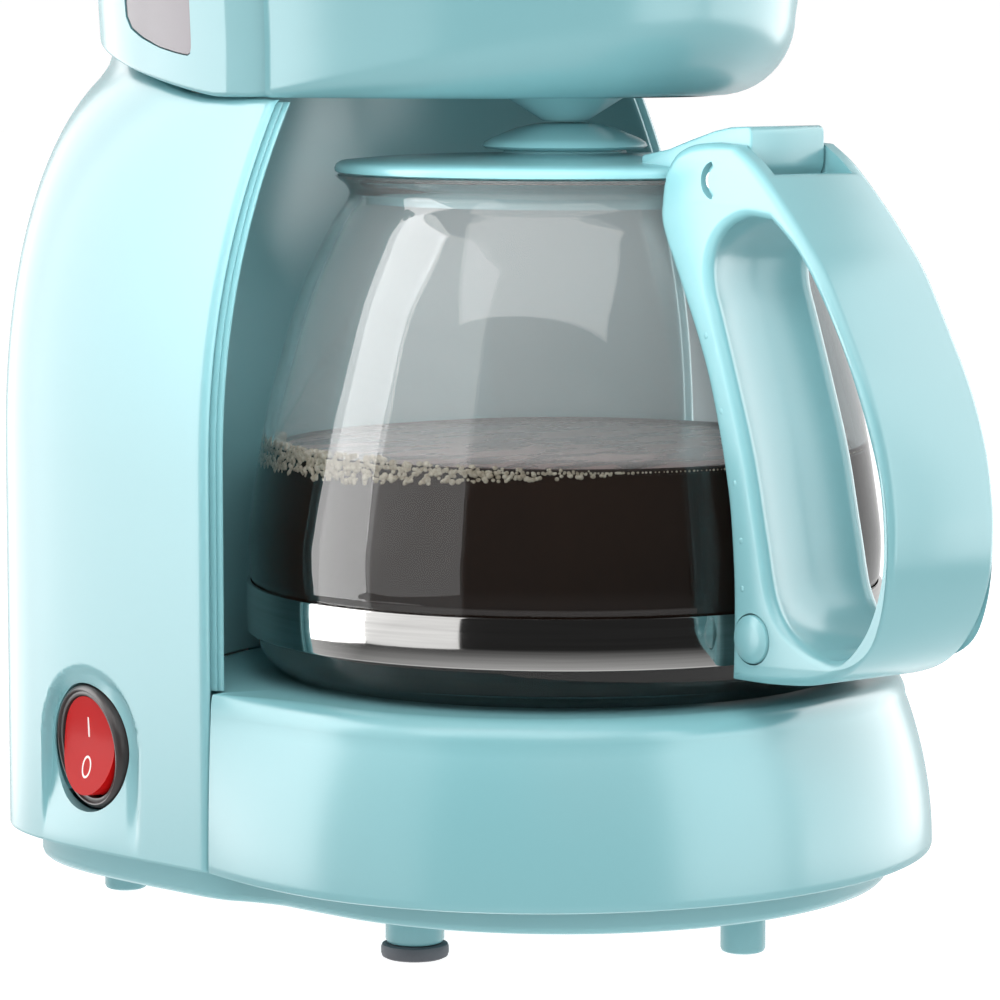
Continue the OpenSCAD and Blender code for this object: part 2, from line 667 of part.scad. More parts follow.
module handle_caps() {
    color(AQUA) in_handle_frame() for (s = [-1, 1])
        translate([64.5, s * (handle_half_w - 0.3), 60]) rotate([90, 0, 0])
            cylinder(r = 4.3, h = 2.8, center = true);
}

module carafe_lid_pin() {
    color(STEEL) in_handle_frame() translate([ear_r, handle_half_w - 0.6, ear_z]) rotate([90, 0, 0])
        cylinder(r = pin_r, h = 2 * handle_half_w - 1.2);
}

lid_arm = concat([[37, 137.4], [41, 139.2], [45, 140.4]],
    smooth([[45, 140.4], [49.5, 143.2], [54, 144.9], [59.4, 145.5]], 3),
    [[60, 144.8], [60, 141.2], [59.2, 140.3], [56.6, 139.8], [54.6, 139.2], [50, 137.6], [45, 137.2]]);

module carafe_lid() {
    color(AQUA) {
        rotate_extrude($fn = 96) polygon([[2.2, 131], [4, 131], [4, 135.4], [34, 135.4], [34, 131.5],
            [36, 131.5],
            [36, 137.2], [41.6, 137.2], [41.6, 138.6], [40.6, 139.3], [30, 140], [12.5, 140.4], [11, 141.2],
            [14.6, 141.6], [14.9, 142.3], [13.4, 143.4], [9, 145.2], [4.3, 146.1], [2.2, 146.1]]);
        in_handle_frame() difference() {
            union() {
                side_plate(8.5) polygon(lid_arm);
                translate([ear_r, 8.5, ear_z]) rotate([90, 0, 0]) cylinder(r = 3.6, h = 17);
            }
            translate([ear_r, 20, ear_z]) rotate([90, 0, 0]) cylinder(r = pin_r + 0.05, h = 40);
        }
    }
}

tower_shell();
niche_panel();
base_shell();
bottom_cover();
rubber_feet();
cover_screws();
cord_inlet();
warming_plate();
plate_seal();
heater_block();
heating_element();
heater_bracket();
thermostat();
thermal_fuses();
check_valve_body();
check_ball();
cold_water_hose();
hot_water_hose();
hose_clamps();
head_shell();
water_tank();
water_window();
spray_arm();
filter_basket();
mesh_filter();
drip_valve();
valve_seal();
valve_spring();
hinge_bracket();
top_lid_pin();
top_lid();
lid_hinge_arm();
switch_bezel();
switch_body();
rocker();
carafe_glass();
carafe_band();
carafe_handle();
band_screw();
handle_caps();
carafe_lid_pin();
carafe_lid();
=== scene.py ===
import json
import math
import random

import bmesh
import bpy
from mathutils import Matrix, Vector


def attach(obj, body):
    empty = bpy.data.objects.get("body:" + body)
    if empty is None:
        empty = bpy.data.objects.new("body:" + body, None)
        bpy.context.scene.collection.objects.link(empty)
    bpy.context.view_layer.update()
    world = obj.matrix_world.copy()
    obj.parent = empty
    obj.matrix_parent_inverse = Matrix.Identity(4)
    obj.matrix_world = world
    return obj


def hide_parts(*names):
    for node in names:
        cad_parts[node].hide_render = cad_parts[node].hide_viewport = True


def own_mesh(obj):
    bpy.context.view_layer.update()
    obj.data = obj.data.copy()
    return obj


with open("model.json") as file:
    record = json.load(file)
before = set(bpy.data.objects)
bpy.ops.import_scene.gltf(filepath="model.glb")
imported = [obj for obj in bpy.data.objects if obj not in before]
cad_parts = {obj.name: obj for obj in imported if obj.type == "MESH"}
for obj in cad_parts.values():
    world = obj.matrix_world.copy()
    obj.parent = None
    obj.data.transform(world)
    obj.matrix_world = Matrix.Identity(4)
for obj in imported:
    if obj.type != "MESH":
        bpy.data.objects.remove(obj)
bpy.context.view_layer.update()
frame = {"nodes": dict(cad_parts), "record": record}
scene = bpy.context.scene
scene.view_settings.view_transform = "Standard"

# Every length below is in millimetres, in the CAD's frame. mesh_object turns it into metres.
MM = 0.001

# ---- driving sizes, as in the CAD ----

TOWER_HALF_W = 67.2
TOWER_HALF_LEN = 68.4
TOWER_Y = 31
TOWER_TAPER = 20
WAIST_Z = 85
FRONT_Y = 24.5
NICHE_DEPTH = 37
RIM_W = 4.6
WALL = 2.4
SKIRT_Z = 14.5
BASE_TOP = 46.5
BASE_A = 70
BASE_B = 66
SHOULDER = 4.5
HEAD_HALF_W = 51.4
HEAD_HALF_LEN = 69.8
HEAD_Y = 29
HEAD_N_FRONT = 2.1
HEAD_N_REAR = 2.45
HEAD_FLOOR = 151
HEAD_RIM = 232
LID_Z = 232.35
LID_END_Y = 90.6
PLATE_R = 44.5
VALVE_HOLE_R = 14
SPRING_LOW = 152.5
SPRING_TOP = 156.8
GLASS_R = 57.7
FOOT_Z = BASE_TOP + 0.6
EAR_R = 53
EAR_Z = 137.5
HANDLE_TURN = math.radians(8)
HANDLE_HALF_W = 12.3
SWITCH = Vector((-64.1, 56.6, 33.5))
SWITCH_TURN = math.radians(12)
SWITCH_DIP = math.radians(4)
ROCKER_TILT = math.radians(8)
CAP_X = 64.5
CAP_Y = 60
PAD_X = 43
PAD_Y = -3.5
COFFEE_Z = 88

# The camera looks along this heading, seen in plan.
LOOK_X = 0.7314
LOOK_Y = 0.6820


# ---- camera ----

def make_camera():
    data = bpy.data.cameras.new("camera")
    data.lens = 158.7
    data.sensor_width = 36
    data.clip_start = 0.01
    camera = bpy.data.objects.new("camera", data)
    scene.collection.objects.link(camera)
    pitch = math.radians(6.28)
    look = Vector((LOOK_X * math.cos(pitch), LOOK_Y * math.cos(pitch), -math.sin(pitch)))
    camera.location = (-0.5931, -0.5370, 0.1655)
    camera.rotation_euler = look.to_track_quat("-Z", "Y").to_euler()
    scene.camera = camera


make_camera()


# ---- curves and mesh helpers ----

def clamp(v, low=0.0, high=1.0):
    return max(low, min(high, v))


def ramp(v, start, end):
    """0 before start, 1 after end, and a smooth S between."""
    t = clamp((v - start) / (end - start))
    return t * t * (3 - 2 * t)


def signed_pow(v, e):
    return math.copysign(abs(v) ** e, v)


def superellipse(a, b, n, t):
    return a * signed_pow(math.cos(t), 2 / n), b * signed_pow(math.sin(t), 2 / n)


def spread(start, end, count):
    """count + 1 evenly spaced values."""
    return [start + (end - start) * i / count for i in range(count + 1)]


def smooth(points, steps=8):
    """A Catmull-Rom curve through the points."""
    out = []
    last = len(points) - 1
    for i in range(last):
        a, b, c, d = (points[max(0, i - 1)], points[i], points[i + 1], points[min(last, i + 2)])
        for s in range(steps):
            t = s / steps
            out.append(tuple(
                (2 * q + (r - p) * t + (2 * p - 5 * q + 4 * r - w) * t ** 2
                 + (3 * q - p - 3 * r + w) * t ** 3) / 2 for p, q, r, w in zip(a, b, c, d)))
    out.append(tuple(points[last]))
    return out


def arc(cx, cy, r, start, end, steps=6):
    """Points on a circle, from one angle to another in degrees."""
    return [(cx + r * math.cos(math.radians(t)), cy + r * math.sin(math.radians(t)))
            for t in spread(start, end, steps)]


def link(name, mesh):
    o = bpy.data.objects.new(name, mesh)
    scene.collection.objects.link(o)
    return o


def applied_mesh(o):
    """The object's mesh with its modifiers applied."""
    bpy.context.view_layer.update()
    return bpy.data.meshes.new_from_object(o.evaluated_get(bpy.context.evaluated_depsgraph_get()))


def hide_from(o, *rays):
    """Keeps the object out of sight of those kinds of ray."""
    for ray in rays:
        setattr(o, "visible_" + ray, False)


def smooth_object(name, bm):
    """A smooth object from what was built in bm, which is used up."""
    mesh = bpy.data.meshes.new(name)
    bm.to_mesh(mesh)
    bm.free()
    mesh.shade_smooth()
    return link(name, mesh)


def finish_mesh(o, sharp=35):
    """Merges doubles, points the faces outward and shades smooth, but for edges sharper than that."""
    bm = bmesh.new()
    bm.from_mesh(o.data)
    bmesh.ops.remove_doubles(bm, verts=bm.verts, dist=2e-6)
    bmesh.ops.dissolve_degenerate(bm, edges=bm.edges, dist=1e-6)
    bmesh.ops.recalc_face_normals(bm, faces=bm.faces)
    bm.to_mesh(o.data)
    bm.free()
    o.data.shade_smooth()
    o.data.set_sharp_from_angle(angle=math.radians(sharp))
    return o


def mesh_object(name, points, faces, sharp=35):
    mesh = bpy.data.meshes.new(name)
    mesh.from_pydata([(p[0] * MM, p[1] * MM, p[2] * MM) for p in points], [], faces)
    return finish_mesh(link(name, mesh), sharp)


def loft(name, sections, wrap=True, sharp=35):
    """A solid through closed sections. With wrap the last section joins the first."""
    n = len(sections[0])
    m = len(sections)
    points = [p for s in sections for p in s]
    faces = []
    for k in range(m if wrap else m - 1):
        k2 = (k + 1) % m
        for i in range(n):
            i2 = (i + 1) % n
            faces.append((k * n + i, k * n + i2, k2 * n + i2, k2 * n + i))
    if not wrap:
        faces.append(tuple(range(n)))
        faces.append(tuple(range((m - 1) * n, m * n)))
    return mesh_object(name, points, faces, sharp)


def lathe(name, profile, steps=160, sharp=35, centre=(0, 0)):
    """Turns a closed (radius, height) outline about the vertical."""
    sections = []
    for k in range(steps):
        t = 2 * math.pi * k / steps
        sections.append([(centre[0] + r * math.cos(t), centre[1] + r * math.sin(t), z)
                         for r, z in profile])
    return loft(name, sections, True, sharp)


def tube(name, path, radius, steps=24):
    """A round bar along a path, closed at both ends."""
    sections = []
    for i, p in enumerate(path):
        p = Vector(p)
        ahead = (Vector(path[min(i + 1, len(path) - 1)]) - Vector(path[max(i - 1, 0)])).normalized()
        side = ahead.cross(Vector((0, 0, 1)))
        side = side.normalized() if side.length > 0.05 else Vector((1, 0, 0))
        up = side.cross(ahead).normalized()
        r = radius(i) if callable(radius) else radius
        sections.append([tuple(p + side * r * math.cos(a) + up * r * math.sin(a))
                         for a in spread(0, 2 * math.pi, steps)[:-1]])
    return loft(name, sections, False)


def extrude(name, outline, low, high, axis="z", sharp=35):
    """An outline given thickness along an axis."""
    def place(p, h):
        return {"z": (p[0], p[1], h), "x": (h, p[0], p[1]), "y": (p[0], h, p[1])}[axis]
    return loft(name, [[place(p, low) for p in outline], [place(p, high) for p in outline]], False, sharp)


def plate(name, outline, holes, half, edge, steps=5):
    """A flat plate with holes, in its own x, y plane, with round edges of that radius."""
    curve = bpy.data.curves.new(name, "CURVE")
    curve.dimensions = "2D"
    curve.fill_mode = "BOTH"
    curve.extrude = (half - edge) * MM
    curve.bevel_depth = edge * MM
    curve.bevel_resolution = steps
    curve.offset = -edge * MM
    for ring in [outline] + holes:
        spline = curve.splines.new("POLY")
        spline.points.add(len(ring) - 1)
        for point, p in zip(spline.points, ring):
            point.co = (p[0] * MM, p[1] * MM, 0, 1)
        spline.use_cyclic_u = True
    temp = link(name + "_curve", curve)
    mesh = applied_mesh(temp)
    bpy.data.objects.remove(temp)
    mesh.name = name
    return link(name, mesh)


def boolean(o, tool, operation="DIFFERENCE", sharp=35):
    """Cuts or joins o with the tool, which is used up."""
    mod = o.modifiers.new("cut", "BOOLEAN")
    mod.operation = operation
    mod.object = tool
    mod.solver = "EXACT"
    mesh = applied_mesh(o)
    o.modifiers.clear()
    o.data = mesh
    bpy.data.objects.remove(tool)
    return finish_mesh(o, sharp)


def soften(o, width, angle=35, segments=3):
    """Rounds the edges that are sharper than the angle."""
    mod = o.modifiers.new("bevel", "BEVEL")
    mod.width = width * MM
    mod.segments = segments
    mod.limit_method = "ANGLE"
    mod.angle_limit = math.radians(angle)
    mod.harden_normals = True
    mod.miter_outer = "MITER_ARC"
    return o


def transform(o, matrix):
    o.data.transform(matrix)
    return o


def move(x, y, z):
    return Matrix.Translation((x * MM, y * MM, z * MM))


def turn(angle, axis):
    return Matrix.Rotation(angle, 4, axis)


# The handle's plane: x runs out from the carafe, y runs up, z is the thickness.
HANDLE_FRAME = turn(-math.pi / 2 - HANDLE_TURN, "Z") @ turn(math.pi / 2, "X")
# The switch: its own z looks out of the machine.
SWITCH_FRAME = move(*SWITCH) @ turn(-SWITCH_TURN, "Z") @ turn(-math.pi / 2 - SWITCH_DIP, "Y")
# The rocker's rest, tilted in the switch.
ROCKER_FRAME = SWITCH_FRAME @ turn(ROCKER_TILT, "Y")


# ---- materials ----

def new_material(name):
    mat = bpy.data.materials.new(name)
    mat.use_nodes = True
    nodes = mat.node_tree.nodes
    return mat, nodes, mat.node_tree.links, nodes["Principled BSDF"]


def put(node, values):
    """Sets a node's unlinked sockets."""
    for socket, value in values.items():
        node.inputs[socket].default_value = value


def linear(r, g, b):
    """An sRGB colour from 0 to 255, as linear values with alpha."""
    def part(v):
        v /= 255
        return v / 12.92 if v < 0.04045 else ((v + 0.055) / 1.055) ** 2.4
    return (part(r), part(g), part(b), 1.0)


def noise(nodes, links, scale, detail=3, stretch=(1, 1, 1)):
    """Noise in the object's own metres, so that it stays put as the piece moves."""
    where = nodes.new("ShaderNodeTexCoord")
    mapping = nodes.new("ShaderNodeMapping")
    mapping.inputs["Scale"].default_value = stretch
    texture = nodes.new("ShaderNodeTexNoise")
    put(texture, {"Scale": scale, "Detail": detail})
    links.new(where.outputs["Object"], mapping.inputs["Vector"])
    links.new(mapping.outputs["Vector"], texture.inputs["Vector"])
    return texture.outputs["Fac"]


def between(nodes, links, fac, low, high):
    """Maps a 0 to 1 value onto a range."""
    node = nodes.new("ShaderNodeMapRange")
    put(node, {"To Min": low, "To Max": high})
    links.new(fac, node.inputs["Value"])
    return node.outputs["Result"]


def blend_colours(nodes, links, fac, a, b):
    node = nodes.new("ShaderNodeMix")
    node.data_type = "RGBA"
    put(node, {"A": a, "B": b})
    links.new(fac, node.inputs["Factor"])
    return node.outputs["Result"]


def two_stops(nodes, low_at, low, high_at, high):
    """A colour ramp from low to high between two positions."""
    node = nodes.new("ShaderNodeValToRGB")
    for stop, position, colour in zip(node.color_ramp.elements, (low_at, high_at), (low, high)):
        stop.position = position
        stop.color = colour
    return node


def paint(nodes, links, shader, fac, a, b):
    """The shader's colour wanders between two sRGB colours."""
    mixed = blend_colours(nodes, links, fac, linear(*a), linear(*b))
    links.new(mixed, shader.inputs["Base Color"])


def roughen(nodes, links, shader, fac, low, high):
    links.new(between(nodes, links, fac, low, high), shader.inputs["Roughness"])


def add_bump(nodes, links, shader, height, strength, distance):
    bump = nodes.new("ShaderNodeBump")
    put(bump, {"Strength": strength, "Distance": distance})
    links.new(height, bump.inputs["Height"])
    links.new(bump.outputs["Normal"], shader.inputs["Normal"])


def plastic(name, colour, other, rough=(0.26, 0.36), grain=1.0, specular=0.5):
    """Moulded plastic: the colour drifts a little, and the skin has a fine grain."""
    mat, nodes, links, shader = new_material(name)
    drift = noise(nodes, links, 9, 0)
    paint(nodes, links, shader, drift, colour, other)
    patches = noise(nodes, links, 14, 0)
    roughen(nodes, links, shader, patches, *rough)
    add_bump(nodes, links, shader, noise(nodes, links, 2600, 2), 0.06 * grain, 0.0002)
    shader.inputs["Specular IOR Level"].default_value = specular
    return mat


def metal(name, colour, rough, stretch=(1, 1, 1), scale=400, strength=0.05):
    """Metal with fine marks, drawn out along one way if stretched."""
    mat, nodes, links, shader = new_material(name)
    shader.inputs["Metallic"].default_value = 1.0
    marks = noise(nodes, links, scale, 4, stretch)
    darker = tuple(c * 0.82 for c in colour)
    paint(nodes, links, shader, marks, darker, colour)
    roughen(nodes, links, shader, marks, *rough)
    add_bump(nodes, links, shader, marks, strength, 0.0001)
    return mat


def clear_glass(name, tint, smudge=0.04):
    """Clear glass or plastic, with faint smudges and a slightly uneven face."""
    mat, nodes, links, shader = new_material(name)
    put(shader, {"Transmission Weight": 1.0, "IOR": 1.47})
    drift = noise(nodes, links, 30, 2)
    shade = tuple(c * 0.97 for c in tint)
    paint(nodes, links, shader, drift, shade, tint)
    roughen(nodes, links, shader, noise(nodes, links, 60, 4), 0.0, smudge)
    add_bump(nodes, links, shader, noise(nodes, links, 35, 1), 0.05, 0.0005)
    return mat


def fogged_glass():
    """The carafe's glass: clear against the coffee, and misted by steam above it."""
    mat = clear_glass("carafe_glass", (251, 253, 253))
    nodes = mat.node_tree.nodes
    links = mat.node_tree.links
    where = nodes.new("ShaderNodeTexCoord")
    split = nodes.new("ShaderNodeSeparateXYZ")
    mist = nodes.new("ShaderNodeMapRange")
    put(mist, {"From Min": (COFFEE_Z + 0.2) * MM, "From Max": (COFFEE_Z + 2.2) * MM, "To Min": 1.0,
               "To Max": 0.95})
    links.new(where.outputs["Object"], split.inputs["Vector"])
    links.new(split.outputs["Z"], mist.inputs["Value"])
    links.new(mist.outputs["Result"], nodes["Principled BSDF"].inputs["Transmission Weight"])
    return mat


def smoked():
    mat = plastic("smoked_window", (150, 144, 149), (142, 137, 142), (0.16, 0.22), specular=0.3)
    shader = mat.node_tree.nodes["Principled BSDF"]
    shader.inputs["Transmission Weight"].default_value = 0.25
    return mat


def liquid_coffee():
    """Black coffee, a little brown where it thins out against the glass."""
    mat, nodes, links, shader = new_material("coffee")
    drift = noise(nodes, links, 25, 3, (1, 1, 0.3))
    paint(nodes, links, shader, drift, (17, 11, 9), (30, 19, 12))
    roughen(nodes, links, shader, noise(nodes, links, 60, 2), 0.03, 0.08)
    add_bump(nodes, links, shader, noise(nodes, links, 40, 2), 0.05, 0.0003)
    shader.inputs["IOR"].default_value = 1.34
    return mat


def coffee_skin():
    """The oily top of the coffee, streaked with fine bubbles."""
    mat, nodes, links, shader = new_material("coffee_top")
    streaks = noise(nodes, links, 70, 6, (1, 2.2, 1))
    ramp_node = two_stops(nodes, 0.42, linear(64, 46, 42), 0.62, linear(122, 98, 94))
    links.new(streaks, ramp_node.inputs["Fac"])
    links.new(ramp_node.outputs["Color"], shader.inputs["Base Color"])
    roughen(nodes, links, shader, streaks, 0.15, 0.4)
    add_bump(nodes, links, shader, streaks, 0.3, 0.0006)
    return mat


def foam():
    """Bubbles that let a little of the coffee through. Their colour wanders from brown to near white:
    partly the bubbles' own tone, and partly a painted highlight within each bubble.
    """
    mat, nodes, links, shader = new_material("foam")
    froth_and_glint = noise(nodes, links, 900, 2)
    # the near-white end is partly a painted highlight inside the bubbles, with the noise sized to the
    # bubbles; the rest is the bubbles' own varied tone
    paint(nodes, links, shader, froth_and_glint, (120, 100, 66), (252, 246, 230))
    roughen(nodes, links, shader, noise(nodes, links, 500, 2), 0.05, 0.2)
    put(shader, {"Transmission Weight": 0.35, "IOR": 1.2})
    return mat


def floor_material():
    mat, nodes, links, shader = new_material("floor")
    drift = noise(nodes, links, 3, 2)
    paint(nodes, links, shader, drift, (150, 150, 150), (156, 156, 156))
    put(shader, {"Roughness": 0.8, "Emission Color": (1, 1, 1, 1), "Emission Strength": 0.94})
    return mat


SLOTS = {
    "aqua_plastic": plastic("aqua_plastic", (120, 172, 178), (123, 174, 180), (0.24, 0.26), 0.4, 0.7),
    "dark_coating": plastic("dark_coating", (38, 37, 38), (52, 50, 50), (0.35, 0.5), 3.0),
    "silicone": plastic("silicone", (214, 214, 208), (226, 226, 220), (0.5, 0.6)),
    "cast_aluminium": metal("cast_aluminium", (176, 178, 181), (0.4, 0.6), scale=900, strength=0.3),
    "steel": metal("steel", (190, 191, 193), (0.18, 0.34)),
    "polished_band": metal("polished_band", (204, 203, 201), (0.03, 0.09), (0.02, 0.02, 1), 1500, 0.03),
    "carafe_glass": fogged_glass(),
    "smoked_window": smoked(),
    "tank_plastic": plastic("tank_plastic", (212, 230, 230), (222, 238, 238), (0.2, 0.3)),
    "rocker_red": plastic("rocker_red", (186, 16, 18), (194, 22, 22), (0.24, 0.3), 0.6, 0.04),
    "black_plastic": plastic("black_plastic", (40, 36, 36), (52, 46, 46), (0.3, 0.42), 2.0),
    "pad_rubber": plastic("pad_rubber", (78, 80, 86), (90, 92, 98), (0.6, 0.75), 4.0),
    "filter_mesh": metal("filter_mesh", (120, 120, 124), (0.3, 0.5), scale=2500, strength=0.6),
    "ceramic": plastic("ceramic", (222, 212, 184), (230, 221, 196), (0.45, 0.6)),
}
COFFEE = liquid_coffee()
COFFEE_TOP = coffee_skin()
FOAM = foam()
MARKS = plastic("marks", (238, 226, 222), (246, 236, 232), (0.3, 0.4))


def piece(o, body, nodes, slot, mat=None):
    """Gives the piece its material, puts it on its body, and lets it stand for those CAD nodes."""
    o.data.materials.clear()
    o.data.materials.append(mat or SLOTS[slot])
    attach(o, body)
    if nodes:
        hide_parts(*nodes)
    return o


# ---- tower ----

def lean(z):
    """How far z is above the waist, where the tower starts to lean in."""
    return max(0.0, (z - WAIST_Z) / 70)


def tower_w(z):
    """Half the tower's width at that height."""
    return TOWER_HALF_W - TOWER_TAPER * lean(z) ** 2.2


def tower_n(z):
    """Squareness of the tower's plan at that height."""
    return 4.2 - 1.7 * min(1.0, lean(z)) ** 5


def seam_z(y):
    """Height of the joint between the tower and the head."""
    return HEAD_FLOOR - 0.4 + 8 * max(0.0, (y - 38) / 42) ** 1.2


def recess(y, z):
    """Depth of the arched scoop round the switch. It is deeper behind, and ends in a groove in front."""
    across = (y - 56) / 14
    reach = math.hypot(across, max(0.0, (z - 34) / 14.3))
    wall = 1 - ramp(reach, 0.93, 1.0)
    floor = 0.5 + 1.7 * ramp(across, -0.5, 0.9)
    groove = 1.0 * ramp(reach, 0.72, 0.92) * ramp(-across, 0.1, 0.8)
    top = 1 - 0.6 * ramp(z, 42, 48)
    return wall * (floor + groove) * top * ramp(z, 15.5, 30)


def tower_stations():
    """Angles round the plan: even, and closer together beside the switch and at the front."""
    def angle_at(y):
        return math.asin(clamp((y - TOWER_Y) / TOWER_HALF_LEN, 0, 1) ** (4.2 / 2))
    right = {0.0}
    right.update(angle_at(y) for y in spread(32, 92, 70))
    right.update(math.radians(a) for a in spread(1, 90, 60))
    left = {math.pi}
    left.update(math.pi - angle_at(y) for y in spread(38, 74, 110))
    left.update(math.pi - angle_at(y) for y in spread(32, 94, 40))
    left.update(math.radians(a) for a in spread(90, 179, 60))
    angles = sorted(right | left)
    kept = [angles[0]]
    for a in angles[1:]:
        if a - kept[-1] > 0.0015:
            kept.append(a)
    kept[-1] = math.pi
    return kept


def tower():
    """The tower's shell, open in front, with holes for the switch and the cord inlet."""
    angles = tower_stations()
    low = spread(SKIRT_Z, 62, 80)
    levels = [(z - SKIRT_Z) / (HEAD_FLOOR - SKIRT_Z) for z in low] + spread(0.36, 1, 44)
    edge = 1.3

    def ring(level, lip):
        """One closed C-shaped ring: the outside, the front edges and the inside."""
        outer, inner = [], []
        for t in angles:
            y_plan = TOWER_Y + TOWER_HALF_LEN * math.sin(t) ** (2 / 2.5) if 0 < t < math.pi else TOWER_Y
            top = seam_z(y_plan)
            z = SKIRT_Z + (top - SKIRT_Z) * level
            for skin, inset in ((outer, lip), (inner, WALL)):
                a = tower_w(z) - inset
                x, y = superellipse(a, TOWER_HALF_LEN - inset, tower_n(z), t)
                y += TOWER_Y
                if skin is outer and x < 0:
                    x += recess(y, z)
                skin.append((x, y, z))
        z = SKIRT_Z + (seam_z(FRONT_Y) - SKIRT_Z) * level
        a = tower_w(z) - lip
        right = [(a, 29, z), (a, FRONT_Y + edge + 1, z), (a, FRONT_Y + edge, z)]
        right += [(a - edge + edge * math.cos(q), FRONT_Y + edge - edge * math.sin(q), z)
                  for q in spread(0, math.pi / 2, 6)[1:]]
        right += [(a - WALL + 0.6, FRONT_Y + 0.3, z), (a - WALL + 0.2, FRONT_Y + 0.9, z),
                  (a - WALL, FRONT_Y + 1.8, z)]
        left = [(-x, y, zz) for x, y, zz in right]
        return outer + left + inner[::-1] + right[::-1]

    lip = 0.7
    rings = [ring(0, lip), ring(0.001, lip * 0.3), ring(0.004, 0)]
    rings += [ring(v, 0) for v in levels[1:-1]]
    rings += [ring(0.994, 0), ring(0.9975, lip * 0.3), ring(0.9995, lip * 0.8), ring(1, lip)]
    o = loft("tower_shell", rings, False)
    bore = transform(extrude("bore", arc(0, 0, 11.75, 0, 360, 96)[:-1], -12, 12), SWITCH_FRAME)
    o = boolean(o, bore)
    inlet = transform(extrude("bore", arc(0, 0, 5.7, 0, 360, 48)[:-1], -12, 12),
                      move(18, 95, 27) @ turn(math.pi / 2, "X"))
    o = boolean(o, inlet)
    return piece(o, "housing", ["tower_shell"], "aqua_plastic")


def niche_wall():
    """The wall behind the carafe, with a rolled bead along its front edges."""
    z0 = BASE_TOP + 0.35
    z1 = HEAD_FLOOR - 0.85

    def ring(z):
        a = tower_w(z) - RIM_W
        front, back = [], []
        for t in spread(0, math.pi, 120):
            front.append((a * math.cos(t), FRONT_Y + 0.3 + NICHE_DEPTH * math.sin(t), z))
            back.append(((a + 1.6) * math.cos(t), FRONT_Y + 3.4 + (NICHE_DEPTH - 1.2) * math.sin(t), z))
        bead_r = [(a + 2.0, FRONT_Y + 3.2, z), (a + 2.0, FRONT_Y + 2.2, z), (a + 1.9, FRONT_Y + 2.1, z),
                  (a + 1.7, FRONT_Y + 0.5, z), (a + 1.5, FRONT_Y + 0.2, z), (a + 1.3, FRONT_Y + 0.2, z),
                  (a + 1.1, FRONT_Y + 0.7, z), (a + 0.9, FRONT_Y + 0.7, z), (a + 0.8, FRONT_Y - 0.2, z),
                  (a + 0.6, FRONT_Y - 0.5, z), (a + 0.3, FRONT_Y - 0.5, z), (a + 0.05, FRONT_Y - 0.2, z)]
        bead_l = [(-x, y, zz) for x, y, zz in bead_r[::-1]]
        return front + bead_l + back[::-1] + bead_r

    o = loft("niche_panel", [ring(z) for z in spread(z0, z1, 60)], False)
    return piece(o, "housing", ["niche_panel"], "aqua_plastic")


# ---- base ----

SEAM_Y = 24


def base_inset(z):
    """The base's sides curve in towards its top."""
    return 4.4 * ((z - SKIRT_Z) / 25.5) ** 2


def base_outline(inset, z, shrink=0.0):
    """Outline of the base: a round front, and sides that run back under the tower's front edges."""
    a = BASE_A - inset - shrink
    b = BASE_B - inset - shrink
    side = TOWER_HALF_W - 0.2 - inset * 0.15 - shrink
    rear_a = TOWER_HALF_W - RIM_W - 0.3 - shrink
    rear_b = NICHE_DEPTH - 0.4 - shrink
    tuck = min(side, rear_a) - 0.1
    points = [(a * math.cos(t), b * math.sin(t), z) for t in spread(math.pi, 2 * math.pi, 150)]
    points += [(a + (side - a) * s * s, SEAM_Y * s, z) for s in spread(0, 1, 16)[1:]]
    points += [(tuck, SEAM_Y + 0.15, z)]
    points += [(rear_a * math.cos(t), FRONT_Y + 0.4 + rear_b * math.sin(t), z)
               for t in spread(0, math.pi, 60)]
    points += [(-tuck, SEAM_Y + 0.15, z)]
    points += [(-a - (side - a) * s * s, SEAM_Y * s, z) for s in spread(1, 0, 16)[:-1]]
    return points


def base():
    """The round shell round the warming plate."""
    bend = BASE_TOP - SHOULDER
    hole = PLATE_R + 0.7
    foot = base_inset(SKIRT_Z)
    rings = [base_outline(foot, SKIRT_Z, 0.5), base_outline(foot, SKIRT_Z + 0.2, 0.12),
             base_outline(foot, SKIRT_Z + 0.6)]
    rings += [base_outline(base_inset(z), z) for z in spread(SKIRT_Z, bend, 16)[1:]]
    for t in spread(0, math.pi / 2, 12)[1:]:
        inset = base_inset(bend) + SHOULDER * (1 - math.cos(t))
        rings.append(base_outline(inset, bend + SHOULDER * math.sin(t)))
    crown = rings[-1]

    def inward(mix, r, z):
        out = []
        for x, y, _ in crown:
            d = math.hypot(x, y)
            out.append((x + (x / d * r - x) * mix, y + (y / d * r - y) * mix, z))
        return out
    rings += [inward(0.5, hole, BASE_TOP), inward(1, hole + 0.8, BASE_TOP),
              inward(1, hole + 0.25, BASE_TOP - 0.2), inward(1, hole, BASE_TOP - 0.8),
              inward(1, hole, BASE_TOP - WALL)]
    inner = [base_outline(base_inset(bend) + SHOULDER, BASE_TOP - WALL, WALL)]
    inner += [base_outline(base_inset(z), z, WALL) for z in spread(bend, SKIRT_Z, 8)]
    o = loft("base_shell", rings + inner, True)
    return piece(o, "housing", ["base_shell"], "aqua_plastic")


TRAY_WAIST = smooth([(60, 0), (60.1, 8), (60.2, 14), (61.6, 19.5), (63.7, 25), (64.4, 31)], 6)[1:-1]


def tray_outline(inset, z):
    """A round front, and a wider back that follows the tower."""
    points = [((60 - inset) * math.cos(t), (59 - inset) * math.sin(t), z)
              for t in spread(math.pi, 2 * math.pi, 96)]
    points += [(x - inset, y, z) for x, y in TRAY_WAIST]
    for t in spread(0, math.pi, 140)[3:-3]:
        x, y = superellipse(64.4 - inset, 63 - inset, 4, t)
        points.append((x, y + 30, z))
    points += [(inset - x, y, z) for x, y in TRAY_WAIST[::-1]]
    return points


